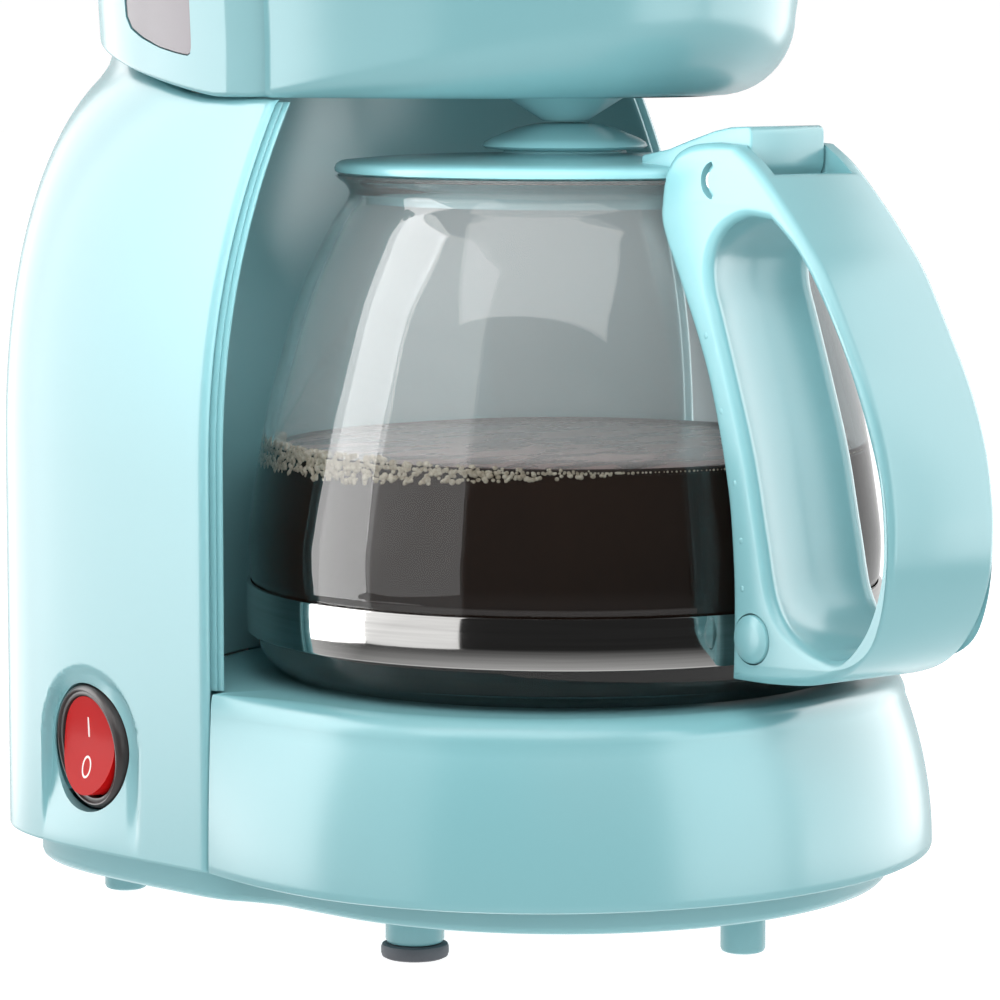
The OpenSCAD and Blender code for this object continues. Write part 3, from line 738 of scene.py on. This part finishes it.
def tray():
    """The bottom cover: a shallow tray with five short feet."""
    floor = 9
    profile = [(1.6, floor), (0.8, floor + 0.25), (0.25, floor + 0.8), (0, floor + 1.6), (0, 18.5),
               (WALL, 18.5), (WALL, floor + WALL)]
    rings = [tray_outline(30, floor), tray_outline(8, floor)]
    rings += [tray_outline(inset, z) for inset, z in profile]
    rings += [tray_outline(30, floor + WALL)]
    o = loft("bottom_cover", rings, False)
    for x, y, r, foot in ((0, -43, 4, 0), (36, 80, 4, 0), (-36, 80, 4, 0), (PAD_X, PAD_Y, 5.2, 2.62),
                          (-PAD_X, PAD_Y, 5.2, 2.62)):
        stub = lathe("stub", [(0, foot), (r - 0.8, foot), (r - 0.25, foot + 0.25), (r, foot + 0.8),
                              (r, floor + 1), (0, floor + 1)], 48, centre=(x, y))
        o = boolean(o, stub, "UNION")
    return piece(o, "housing", ["bottom_cover"], "aqua_plastic")


def rubber_pads():
    profile = [(0, 0), (5.2, 0), (5.8, 0.3), (6, 0.9), (6, 1.9), (5.8, 2.4), (5.3, 2.6), (0, 2.6)]
    for side, name in ((-1, "rubber_pad_left"), (1, "rubber_pad_right")):
        o = lathe(name, profile, 64,
                  centre=(PAD_X * side, PAD_Y))
        piece(o, "housing", ["rubber_feet"], "pad_rubber")


def warming_plate():
    r = PLATE_R
    z = BASE_TOP
    profile = [(0, z - 0.8), (r - 1.2, z - 0.8), (r - 1.2, z - 4.6), (r, z - 4.6), (r, z - 0.8),
               (r - 0.2, z - 0.2), (r - 0.8, z + 0.15), (r - 2.2, z + 0.3), (r - 10, z + 0.3),
               (r - 11, z + 0.1), (r - 12, z + 0.3), (0, z + 0.3)]
    piece(lathe("warming_plate", profile, 160), "housing", ["warming_plate"], "dark_coating")


# ---- head ----

def bulge(z):
    """The head's sides swell a little at mid height."""
    return 1.2 * math.sin(math.pi * clamp((z - HEAD_FLOOR - 10) / (HEAD_RIM - HEAD_FLOOR - 10)))


def floor_z(y):
    return seam_z(y) + 0.4


def keel(y):
    """Radius of the head's lower edge, which grows towards the front."""
    return 1 + 16 * clamp((HEAD_Y - y) / HEAD_HALF_LEN) ** 1.15


def head_oval(inset, t):
    """The head's oval is rounder in front than behind."""
    n = HEAD_N_REAR if math.sin(t) > 0 else HEAD_N_FRONT
    x, y = superellipse(HEAD_HALF_W - inset, HEAD_HALF_LEN - inset, n, t)
    return x, y + HEAD_Y


def head_half(y, inset):
    """Half the head's width at that y."""
    n = HEAD_N_REAR if y > HEAD_Y else HEAD_N_FRONT
    return (HEAD_HALF_W - inset) * (1 - (abs(y - HEAD_Y) / (HEAD_HALF_LEN - inset)) ** n) ** (1 / n)


def crease(y):
    """The rear of the head stands back a little behind the line above the tower's front edges."""
    back = ramp(y, FRONT_Y + 0.2, FRONT_Y + 1.2)
    fade = 1 - clamp((y - FRONT_Y - 1.2) / 9) ** 0.8
    front = (1 - ramp(y, FRONT_Y - 0.6, FRONT_Y + 0.4)) * (1 - ramp(FRONT_Y - y, 2, 26))
    return 2.2 * back * fade - 0.5 * front


def head_angles():
    """Angles round the head's oval, closer together beside the creases."""
    angles = set(spread(0, 2 * math.pi, 220)[:-1])
    for y in spread(21, 36, 60):
        n = HEAD_N_REAR if y > HEAD_Y else HEAD_N_FRONT
        s = (y - HEAD_Y) / HEAD_HALF_LEN
        t = math.asin(signed_pow(s, n / 2))
        angles.update((t % (2 * math.pi), (math.pi - t) % (2 * math.pi)))
    kept = []
    for a in sorted(angles):
        if not kept or a - kept[-1] > 0.001:
            kept.append(a)
    return kept


def head_section(t, thick):
    """One station of the head: hole, underside, fillet, side."""
    def at(inset, z):
        x, y = head_oval(inset, t)
        if thick == 0:
            x -= math.copysign(crease(y), x) * ramp(abs(x), 20, 35)
        return (x, y, z)
    edge = at(thick, 0)
    r = max(0.6, keel(edge[1]) - thick)
    z0 = floor_z(edge[1]) + thick
    out = []
    for rr, dz in ((VALVE_HOLE_R, 0.6), (VALVE_HOLE_R + 0.2, 0.15), (VALVE_HOLE_R + 0.8, 0), (26, 0)):
        lift = dz if thick == 0 else 0
        out.append((rr * math.cos(t), rr * math.sin(t), HEAD_FLOOR + thick + lift))
    for q in spread(0, math.pi / 2, 12):
        p = at(thick + r * (1 - math.sin(q)), 0)
        out.append((p[0], p[1], z0 + r * (1 - math.cos(q))))
    for i in range(1, 29):
        z = z0 + r + (HEAD_RIM - z0 - r) * i / 28
        out.append(at(thick - bulge(z), z))
    if thick == 0:
        out.pop()
        out += [at(0.0, HEAD_RIM - 0.7), at(0.2, HEAD_RIM - 0.2), at(0.8, HEAD_RIM)]
    return out


WINDOW_OUTLINE = [(44.2, 222), (44.2, 159.6), (44.5, 158.6), (45.3, 158.2), (48.5, 158.6), (54, 159.6),
                  (60, 161.3), (64, 163), (65.8, 165.2), (66, 168), (66, 222)]


def head():
    """The head's shell, with a hole for the valve, the window's opening and two pipe holes."""
    sections = [head_section(t, 0) + head_section(t, WALL)[::-1] for t in head_angles()]
    o = loft("head_shell", sections, True)
    o = boolean(o, extrude("opening", WINDOW_OUTLINE, -75, -30, "x"))
    for x, y in ((-18, 72), (18, 85)):
        o = boolean(o, lathe("bore", [(0, 140), (7, 140), (7, 175), (0, 175)], 48, centre=(x, y)))
    return piece(o, "housing", ["head_shell"], "aqua_plastic")


def shrink_outline(outline, by):
    """Moves each point towards the outline's middle, along both axes."""
    cx = sum(p[0] for p in outline) / len(outline)
    cy = sum(p[1] for p in outline) / len(outline)
    return [(p[0] + math.copysign(by, cx - p[0]), p[1] + math.copysign(by, cy - p[1])) for p in outline]


def water_window():
    ys = spread(42, 69, 30)
    zs = spread(156, 224, 60)
    outer = [[(-head_half(y, 0.25 - bulge(z)), y, z) for z in zs] for y in ys]
    inner = [[(-head_half(y, 0.25 + WALL - bulge(z)), y, z) for z in zs] for y in ys]
    slab = loft("water_window", [a + b[::-1] for a, b in zip(outer, inner)], False)
    o = boolean(slab, extrude("outline", shrink_outline(WINDOW_OUTLINE, 0.25), -75, -30, "x"), "INTERSECT")
    return piece(o, "housing", ["water_window"], "smoked_window")


def top_lid():
    def ring(inset, z):
        out = []
        for t in spread(0, 2 * math.pi, 200)[:-1]:
            x, y = head_oval(inset + 0.2, t)
            out.append((x, min(y, LID_END_Y - inset * 0.3), z))
        return out
    under = [(26, 11.4), (9, 8), (WALL, 3), (WALL, 0.4), (WALL - 0.4, 0)]
    crown = smooth([(-0.6, 0), (-1, 0.5), (-1, 3), (-0.5, 5.2), (0.6, 7), (3.6, 10), (8, 12.3), (16, 14.4),
                    (28, 16)], 5)
    rings = [ring(45, LID_Z + 11.6)] + [ring(i, LID_Z + h) for i, h in under]
    rings += [ring(i, LID_Z + h) for i, h in crown] + [ring(40, LID_Z + 16.0), ring(48, LID_Z + 16.0)]
    o = loft("top_lid", rings, False)
    notch = extrude("notch", [(-12, 81.4), (12, 81.4), (12, 96), (-12, 96)], LID_Z - 1, 238.3)
    return piece(boolean(o, notch), "top_lid", ["top_lid"], "aqua_plastic")


# ---- drip stop ----

def drip_cone():
    """The drip-stop valve, whose cone hangs below the head."""
    profile = [(0, 146.5), (4.0, 146.5), (4.35, 146.65), (4.8, 147.0), (11.0, 150.9), (11.5, 151.3),
               (11.7, 151.8), (11.3, 152.3), (3.25, 152.3), (3.25, 161), (1.8, 161), (1.8, 163), (0, 163)]
    piece(lathe("drip_valve", profile, 96), "drip_valve", ["drip_valve"], "aqua_plastic")


def valve_spring():
    """A coil that the rising valve presses flat from below; here it is built at one fixed length."""
    turns = 2.6
    path = []
    for s in spread(0, 1, 90):
        t = 2 * math.pi * turns * s
        z = SPRING_LOW + 0.4 + (SPRING_TOP - SPRING_LOW - 0.8) * s
        path.append((5 * math.cos(t), 5 * math.sin(t), z))
    o = piece(tube("valve_spring", path, 0.36, 12), "housing", ["valve_spring"], "steel")
    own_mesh(o)


# ---- switch ----

def switch_bezel():
    profile = [(10.6, -5), (11.4, -5), (11.4, 1.0), (11.25, 1.5), (10.95, 1.85), (10.6, 2.05), (10.4, 2.0),
               (10.2, 1.6), (9.9, 1.7), (9.5, 1.6), (9.35, 1.2), (9.35, 0.8), (10.6, 0.8)]
    o = transform(lathe("switch_bezel", profile, 128), SWITCH_FRAME)
    piece(o, "housing", ["switch_bezel"], "black_plastic")


def rocker():
    """A round rocker with a shallow valley across its face."""
    r = 9.0
    face = smooth([(-12, 3.15), (-8, 2.45), (-3, 1.7), (0, 1.5), (3, 1.7), (8, 2.45), (12, 3.15)], 6)
    outline = face + [(12, -0.8), (0, -3.6), (-12, -0.8)]
    bar = extrude("rocker", outline, -15, 15, "y")
    disc = lathe("disc", [(0, -4), (r, -4), (r, 6), (0, 6)], 128)
    o = boolean(bar, disc, "INTERSECT", 28)
    soften(o, 0.35, 40, 3)
    transform(o, ROCKER_FRAME)
    piece(o, "rocker", ["rocker"], "rocker_red")
    rocker_marks()


def rocker_marks():
    """A generic bar and ring, printed on the two halves of the rocker."""
    def lift(x):
        return 1.5 + 0.0163 * x * x + 0.08
    bar = [(x, y, lift(x)) for x, y in ((1.6, -0.22), (5.2, -0.22), (5.2, 0.22), (1.6, 0.22))]
    low = [(x, y, z - 0.2) for x, y, z in bar]
    o = loft("mark_on", [low, bar], False)
    transform(o, ROCKER_FRAME)
    piece(o, "rocker", [], "rocker_red", MARKS)
    sections = []
    for t in spread(0, 2 * math.pi, 48)[:-1]:
        ring = []
        for dr, dz in ((-0.2, -0.2), (0.2, -0.2), (0.2, 0), (-0.2, 0)):
            x = -3.9 + (1.85 + dr) * math.cos(t)
            y = (1.35 + dr) * math.sin(t)
            ring.append((x, y, lift(x) + dz))
        sections.append(ring)
    o = loft("mark_off", sections, True)
    transform(o, ROCKER_FRAME)
    piece(o, "rocker", [], "rocker_red", MARKS)


# ---- carafe ----

def glass_outer():
    """The outside of the glass, from the middle of its foot up to the rim."""
    foot = smooth([(51.5, FOOT_Z), (54.6, FOOT_Z + 2.4), (GLASS_R - 0.9, FOOT_Z + 7)], 8)
    body = smooth([(GLASS_R - 0.2, 64.6), (GLASS_R, 70), (57.2, 76), (55, 90), (52.5, 101), (47.9, 116),
                   (42.8, 127), (39.4, 132.4), (39.4, 134.6), (41.6, 136.6)], 10)
    return ([(0, FOOT_Z + 1.6), (40, FOOT_Z + 1.6), (46, FOOT_Z + 0.8), (49.5, FOOT_Z)] + foot
            + [(GLASS_R - 0.6, FOOT_Z + 9), (GLASS_R - 0.6, 63.6)] + body)


def glass_inner():
    """The inside of the glass, from the rim down to the middle of its floor."""
    wall = smooth([(39.8, 136.6), (37.2, 134.4), (37.2, 132), (40.8, 126), (45.8, 115), (50.3, 100),
                   (52.8, 89.5), (55, 76), (55.4, 70), (55.1, 60), (53.2, FOOT_Z + 5.5)], 10)
    return wall + [(50, FOOT_Z + 3.2), (44, FOOT_Z + 3.8), (0, FOOT_Z + 3.8)]


def carafe_glass():
    lip = [(41.2, 137.0), (40.4, 137.1)]
    o = lathe("carafe_glass", glass_outer() + lip + glass_inner(), 192, sharp=50)
    o.visible_shadow = False
    piece(o, "carafe", ["carafe_glass"], "carafe_glass")
    return o


def coffee_edge(height):
    """Radius of the inside of the glass at that height."""
    return min((abs(z - height), r) for r, z in glass_inner())[1]


def coffee():
    """The coffee fills the glass up to its level, with a small rim where it climbs the wall."""
    soak = 0.15
    wall = [(r + soak, z) for r, z in glass_inner()[::-1] if z < COFFEE_Z - 1.5]
    wall[0] = (0, wall[0][1])
    wall = [(r, z - soak) for r, z in wall]
    r_top = coffee_edge(COFFEE_Z)
    body = wall + [(r_top + soak, COFFEE_Z - 0.6), (r_top + soak, COFFEE_Z + 0.5),
                   (r_top - 0.5, COFFEE_Z - 0.1), (r_top - 1.6, COFFEE_Z - 0.5), (0, COFFEE_Z - 0.5)]
    liquid = piece(lathe("coffee", body, 160), "carafe", [], "carafe_glass", COFFEE)
    top = [(0, COFFEE_Z - 0.45), (r_top - 1.8, COFFEE_Z - 0.45), (r_top - 1.0, COFFEE_Z - 0.2),
           (r_top - 1.8, COFFEE_Z - 0.1), (0, COFFEE_Z - 0.1)]
    piece(lathe("coffee_top", top, 128), "carafe", [], "carafe_glass", COFFEE_TOP)
    return liquid


def bubbles():
    """Bubbles along the coffee's edge: large and piled up on the left, small beads on the right."""
    rng = random.Random(7)
    bm = bmesh.new()

    def add(angle, z, size):
        r = coffee_edge(z) - 0.3 * size
        place = Matrix.Translation((r * math.cos(angle) * MM, r * math.sin(angle) * MM, z * MM))
        bmesh.ops.create_icosphere(bm, subdivisions=2, radius=size * MM,
                                   matrix=place @ Matrix.Diagonal((1, 1, 0.9, 1)))
    angle = math.radians(125)
    while angle < math.radians(300):
        pile = clamp((math.radians(240) - angle) / math.radians(62))
        add(angle, COFFEE_Z - 0.2, rng.uniform(0.26, 0.36) + 0.3 * pile)
        for _ in range(int(round(7 * pile))):
            size = rng.uniform(0.25, 0.45) + pile * rng.uniform(0, 0.5)
            drop = rng.uniform(-3.2, 1.6) * pile
            add(angle + rng.uniform(-0.02, 0.02), COFFEE_Z - 0.2 + drop, size)
        angle += rng.uniform(0.6, 0.95) / 54
    piece(smooth_object("foam_bubbles", bm), "carafe", [], "carafe_glass", FOAM)


def band():
    z0, z1 = 54.4, 63.4
    r0, r1 = GLASS_R - 0.4, GLASS_R + 0.3
    profile = [(r0, z0), (r1 - 0.3, z0), (r1 - 0.08, z0 + 0.1), (r1, z0 + 0.35), (r1, z1 - 0.35),
               (r1 - 0.08, z1 - 0.1), (r1 - 0.3, z1), (r0, z1)]
    return piece(lathe("carafe_band", profile, 192), "carafe", ["carafe_band"], "polished_band")


HANDLE_OUTER = [(58.7, 143.5), (64.1, 140.1), (70.8, 134.1), (76.5, 128.2), (81.4, 122.4), (87.4, 112.6),
                (92.5, 103.5), (96, 94.5), (97.8, 86), (98.2, 79), (97.4, 71.5), (94, 63.2), (88, 57),
                (80, 53.9), (70, 52.7), (60.5, 52.4)]
HANDLE_INNER = [(59, 52.4), (59.2, 63), (58.9, 72.4), (57.4, 85), (53.6, 100), (50, 109.5), (45, 119.7),
                (40.4, 129), (40.2, 134), (41.2, 138.4), (43.8, 141.8), (47.8, 143.4), (52.4, 143.9)]
FINGER_GAP = [(68, 131.2), (62, 131.6), (57, 129.8), (53.9, 126.8), (52.6, 123.1), (53, 118.8),
              (54.9, 113.8), (59.8, 100.5), (63.3, 90), (66.5, 76.8), (69.2, 66.8), (74.1, 61.4),
              (82.9, 58.4), (90.8, 61.2), (94.3, 67.5), (95.6, 77), (94.8, 87.5), (92, 96.5), (87.1, 107.5),
              (81.5, 117), (75, 125.5), (68, 131.2)]


def palm_scoop():
    """A ring round the finger hole that hollows its wall a little, but not along the thin outer strap."""
    path = smooth(FINGER_GAP, 6)[:-1]
    n = len(path)
    middle_x, middle_y = 75, 92
    half = 10.6
    stand_in = 1.5
    sections = []
    for i, (x, y) in enumerate(path):
        ax, ay = path[i - 1]
        bx, by = path[(i + 1) % n]
        length = math.hypot(bx - ax, by - ay)
        out = ((by - ay) / length, (ax - bx) / length)
        if (x - middle_x) * out[0] + (y - middle_y) * out[1] < 0:
            out = (-out[0], -out[1])
        deep = 2.6 * (1 - ramp(x, 68, 84)) - 0.8 * ramp(x, 72, 84)
        section = []
        for w in spread(-half, half, 20):
            d = deep * (1 - (w / half) ** 2) - 0.05
            section.append((x + out[0] * d, y + out[1] * d, w))
        section += [(x - out[0] * stand_in, y - out[1] * stand_in, w) for w in (half, -half)]
        sections.append(section)
    return transform(loft("palm_scoop", sections, True), HANDLE_FRAME)


def crescent():
    """The slot in the handle's ear: a crescent whose two tips stick in."""
    outer = arc(0, 0, 3.3, 100, 260, 20)
    inner = arc(1.0, 0, 2.5, 245, 115, 14)
    return outer + inner


def handle():
    outline = smooth(HANDLE_OUTER, 6) + smooth(HANDLE_INNER, 6)
    gap = smooth(FINGER_GAP, 6)[:-1]
    o = plate("carafe_handle", outline, [gap], HANDLE_HALF_W, 1.6, 5)
    finish_mesh(o, 50)
    transform(o, HANDLE_FRAME)
    clear = [(0, 40)] + [(r + 0.35, z) for r, z in glass_outer()[4:]] + [(43.4, 137), (43.4, 146), (0, 146)]
    o = boolean(o, lathe("clear", clear, 192), sharp=50)
    ring = [(GLASS_R - 4, 54.0), (GLASS_R + 0.5, 54.0), (GLASS_R + 0.5, 64.0), (GLASS_R - 4, 64.0)]
    o = boolean(o, lathe("ring", ring, 192), sharp=50)
    o = boolean(o, palm_scoop(), sharp=50)
    half = 8.9
    for x0, x1, y0, y1 in ((30, 61.5, 131.5, 151.5), (59, 73, 138.6, 148.6)):
        box = extrude("box", [(x0, y0), (x1, y0), (x1, y1), (x0, y1)], -half, half)
        o = boolean(o, transform(box, HANDLE_FRAME), sharp=50)
    for side in (-1, 1):
        w0, w1 = sorted((side * (HANDLE_HALF_W - 1.4), side * (HANDLE_HALF_W + 2)))
        slot = extrude("slot", [(EAR_R + 1.2 + x, EAR_Z + y) for x, y in crescent()], w0, w1)
        o = boolean(o, transform(slot, HANDLE_FRAME), sharp=50)
        seat = lathe("seat", [(0, 0), (4.45, 0), (4.45, 4), (0, 4)], 64)
        offset = HANDLE_HALF_W - 2 if side > 0 else -HANDLE_HALF_W - 2
        o = boolean(o, transform(seat, HANDLE_FRAME @ move(CAP_X, CAP_Y, offset)), sharp=50)
    piece(o, "carafe", ["carafe_handle"], "aqua_plastic")


def handle_pimples():
    """Small moulded marks down both faces of the handle's spine."""
    bm = bmesh.new()
    for side in (-1, 1):
        for x, y in ((52.4, 111), (56.4, 98.4), (60.0, 86.2), (61.6, 76.6), (62.0, 68.4)):
            place = HANDLE_FRAME @ move(x, y, side * (HANDLE_HALF_W - 0.12))
            place = place @ Matrix.Diagonal((1, 1.3, 0.55, 1))
            bmesh.ops.create_icosphere(bm, subdivisions=3, radius=0.5 * MM, matrix=place)
    piece(smooth_object("handle_marks", bm), "carafe", [], "aqua_plastic")


def handle_caps():
    """Round caps over the ends of the band's screw, slightly domed."""
    for side, name in ((-1, "handle_cap_left"), (1, "handle_cap_right")):
        profile = [(0, -1.5), (4.2, -1.5), (4.2, 0.2), (4.05, 0.6), (3.6, 0.85), (2.4, 1.1), (0, 1.25)]
        o = lathe(name, profile, 64)
        flip = turn(math.pi, "X") if side < 0 else Matrix.Identity(4)
        transform(o, HANDLE_FRAME @ move(CAP_X, CAP_Y, side * (HANDLE_HALF_W - 0.2)) @ flip)
        piece(o, "carafe", ["handle_caps"], "aqua_plastic")


def lid_arm_outline():
    """Side view of the arm and the lever at the back of the carafe's lid."""
    return [(31, 139.6), (31, 141.2), (38, 142.4), (44, 144.2), (50, 145.8), (54, 146.5), (58.6, 146.7),
            (59.3, 146.2), (59.5, 145.2), (59.5, 140.4), (59.2, 139.2), (58.2, 137.6), (56.5, 134.2),
            (53, 133.2), (49.6, 134.3), (48.4, 136.8), (43, 137.0)]


def carafe_lid():
    profile = [(2.2, 131), (4, 131), (4, 135.4), (34, 135.4), (34, 131.5), (36, 131.5), (36, 137.3),
               (41.2, 137.3), (41.6, 137.5), (41.7, 138.1), (41.4, 138.8), (40.6, 139.3), (36, 139.7),
               (30, 140), (12.5, 140.4), (11.2, 140.8), (11, 141.2), (12.6, 141.4), (14.4, 141.6),
               (14.95, 142.0), (14.6, 142.7), (13.4, 143.4), (9, 145.2), (6, 145.9), (4.3, 146.1),
               (2.9, 146.0), (2.2, 145.6)]
    o = lathe("carafe_lid", profile, 160)
    arm = extrude("arm", lid_arm_outline(), -8.5, 8.5)
    soften(arm, 0.9, 25, 4)
    arm.data = applied_mesh(arm)
    arm.modifiers.clear()
    o = boolean(o, transform(arm, HANDLE_FRAME), "UNION", 40)
    bore = transform(lathe("bore", [(0, -15), (1.55, -15), (1.55, 15), (0, 15)], 32),
                     HANDLE_FRAME @ move(EAR_R, EAR_Z, 0))
    piece(boolean(o, bore, sharp=40), "carafe_lid", ["carafe_lid"], "aqua_plastic")


# ---- what stays as CAD ----

def finish_cad_nodes():
    """The inner pieces keep their CAD shape and get the same materials as the rest."""
    materials = {part["node"]: part["material_slot"] for part in frame["record"]["subparts"]}
    for name, o in frame["nodes"].items():
        slot = materials.get(name, "steel")
        for i in range(max(1, len(o.material_slots))):
            if i < len(o.material_slots):
                o.material_slots[i].material = SLOTS[slot]
            else:
                o.data.materials.append(SLOTS[slot])


# ---- studio ----

def area_light(name, azimuth, height, distance, width, tall, radiance, diffuse=True, glossy=True,
               pitch=0.0):
    """A soft box on a circle round the machine. Azimuth is from the camera's side, left is negative."""
    data = bpy.data.lights.new(name, "AREA")
    data.shape = "RECTANGLE"
    data.size = width
    data.size_y = tall
    data.energy = radiance * math.pi * width * tall
    o = bpy.data.objects.new(name, data)
    scene.collection.objects.link(o)
    heading = math.radians(223 + azimuth)
    o.location = (distance * math.cos(heading), distance * math.sin(heading) + 0.02, height)
    target = Vector((0, 0.02, 0.1 + pitch))
    o.rotation_euler = (target - Vector(o.location)).to_track_quat("-Z", "Y").to_euler()
    o.visible_camera = False
    o.visible_diffuse = diffuse
    o.visible_glossy = glossy
    o.visible_transmission = glossy
    return o


def sky():
    """A dim grey surround. Mirrors see it dark on the camera's side, and bright behind and below."""
    world = bpy.data.worlds.new("studio")
    scene.world = world
    world.use_nodes = True
    nodes = world.node_tree.nodes
    links = world.node_tree.links
    background = nodes["Background"]
    where = nodes.new("ShaderNodeTexCoord")
    along = nodes.new("ShaderNodeVectorMath")
    along.operation = "DOT_PRODUCT"
    along.inputs[1].default_value = (LOOK_X, LOOK_Y, 0.9)
    half = nodes.new("ShaderNodeMath")
    half.operation = "MULTIPLY_ADD"
    put(half, {1: 0.5, 2: 0.5})
    levels = two_stops(nodes, 0.28, (0.03, 0.03, 0.03, 1), 0.62, (0.85, 0.85, 0.85, 1))
    seen = nodes.new("ShaderNodeLightPath")
    mix = nodes.new("ShaderNodeMix")
    mix.data_type = "RGBA"
    mix.inputs["A"].default_value = (0.22, 0.22, 0.22, 1)
    links.new(where.outputs["Generated"], along.inputs[0])
    links.new(along.outputs["Value"], half.inputs[0])
    links.new(half.outputs["Value"], levels.inputs["Fac"])
    split = nodes.new("ShaderNodeSeparateXYZ")
    below = nodes.new("ShaderNodeMapRange")
    put(below, {"From Min": -0.2, "From Max": -0.55, "To Min": 0.0, "To Max": 0.9})
    both = nodes.new("ShaderNodeMath")
    both.operation = "ADD"
    links.new(where.outputs["Generated"], split.inputs["Vector"])
    links.new(split.outputs["Z"], below.inputs["Value"])
    links.new(below.outputs["Result"], both.inputs[0])
    links.new(levels.outputs["Color"], both.inputs[1])
    links.new(both.outputs["Value"], mix.inputs["B"])
    links.new(seen.outputs["Is Glossy Ray"], mix.inputs["Factor"])
    through = nodes.new("ShaderNodeMix")
    through.data_type = "RGBA"
    through.inputs["B"].default_value = (0.2, 0.24, 0.25, 1)
    links.new(seen.outputs["Is Transmission Ray"], through.inputs["Factor"])
    links.new(mix.outputs["Result"], through.inputs["A"])
    links.new(through.outputs["Result"], background.inputs["Color"])
    background.inputs["Strength"].default_value = 1.0


def backdrop():
    """A white wall round the edge of the floor, that only the camera sees."""
    steps = 24
    reach = 5.5
    height = 4
    ring = arc(0, 0, reach, 0, 360, steps)[:-1]
    mesh = bpy.data.meshes.new("backdrop")
    corners = [(x, y, z) for z in (0, height) for x, y in ring]
    faces = [(i, (i + 1) % steps, (i + 1) % steps + steps, i + steps) for i in range(steps)]
    mesh.from_pydata(corners, [], faces)
    mat, nodes, links, shader = new_material("backdrop")
    drift = noise(nodes, links, 2, 1)
    links.new(blend_colours(nodes, links, drift, (0.99, 0.99, 0.99, 1), (1, 1, 1, 1)),
              shader.inputs["Emission Color"])
    put(shader, {"Emission Strength": 1.0, "Base Color": (0, 0, 0, 1)})
    mesh.materials.append(mat)
    wall = link("backdrop", mesh)
    hide_from(wall, "diffuse", "glossy", "transmission", "shadow")


def make_floor():
    """A pale floor, that mirrors and glass don't see."""
    mesh = bpy.data.meshes.new("floor")
    side = 6
    corners = [(-side, -side, 0), (side, -side, 0), (side, side, 0), (-side, side, 0)]
    mesh.from_pydata(corners, [], [(0, 1, 2, 3)])
    floor = link("floor", mesh)
    mesh.materials.append(floor_material())
    hide_from(floor, "glossy", "transmission", "shadow")


def keep_off(lamp, pieces):
    """A flag: the lamp doesn't reach these pieces."""
    group = bpy.data.collections.new(lamp.name + "_flag")
    for o in pieces:
        group.objects.link(o)
    for entry in group.collection_objects:
        entry.light_linking.link_state = "EXCLUDE"
    lamp.light_linking.receiver_collection = group


def studio(clear, shiny, roof):
    """Soft boxes. Some don't reach the glass, or the pieces that mirror."""
    sky()
    area_light("left_veil", -55, 0.5, 1.1, 0.78, 1.4, 1.3, diffuse=False, pitch=0.3)
    keep_off(area_light("left_main", -55, 0.5, 1.1, 0.78, 1.4, 3.1, diffuse=False, pitch=0.3), clear)
    area_light("left_side", -93, 0.5, 1.1, 0.8, 1.4, 5.2, diffuse=False, pitch=0.3)
    keep_off(area_light("left_back", -130, 0.5, 1.1, 0.75, 1.4, 3.6, diffuse=False, pitch=0.3), shiny)
    keep_off(area_light("right_near", 56, 0.45, 1.1, 0.72, 1.3, 3.4, diffuse=False, pitch=0.2), shiny)
    keep_off(area_light("right_side", 112, 0.45, 1.1, 1.5, 1.3, 3.8, diffuse=False, pitch=0.2), shiny)
    area_light("right_strip", 81, -0.05, 1.1, 0.055, 0.2, 3, diffuse=False)
    area_light("top_box", -15, 1.2, 0.9, 1.6, 0.9, 2.0)
    area_light("front_fill", 18, 0.6, 1.1, 0.9, 0.8, 2.3, glossy=False)
    keep_off(area_light("niche_fill", -8, 0.15, 0.105, 0.09, 0.05, 6, glossy=False), roof)
    backdrop()
    make_floor()


# ---- build ----

finish_cad_nodes()
tower()
niche_wall()
base()
tray()
rubber_pads()
warming_plate()
roof = [head()]
water_window()
top_lid()
drip_cone()
valve_spring()
switch_bezel()
rocker()
clear = [carafe_glass(), coffee()]
shiny = clear + [band()]
bubbles()
handle()
handle_pimples()
handle_caps()
carafe_lid()
studio(clear, shiny, roof)
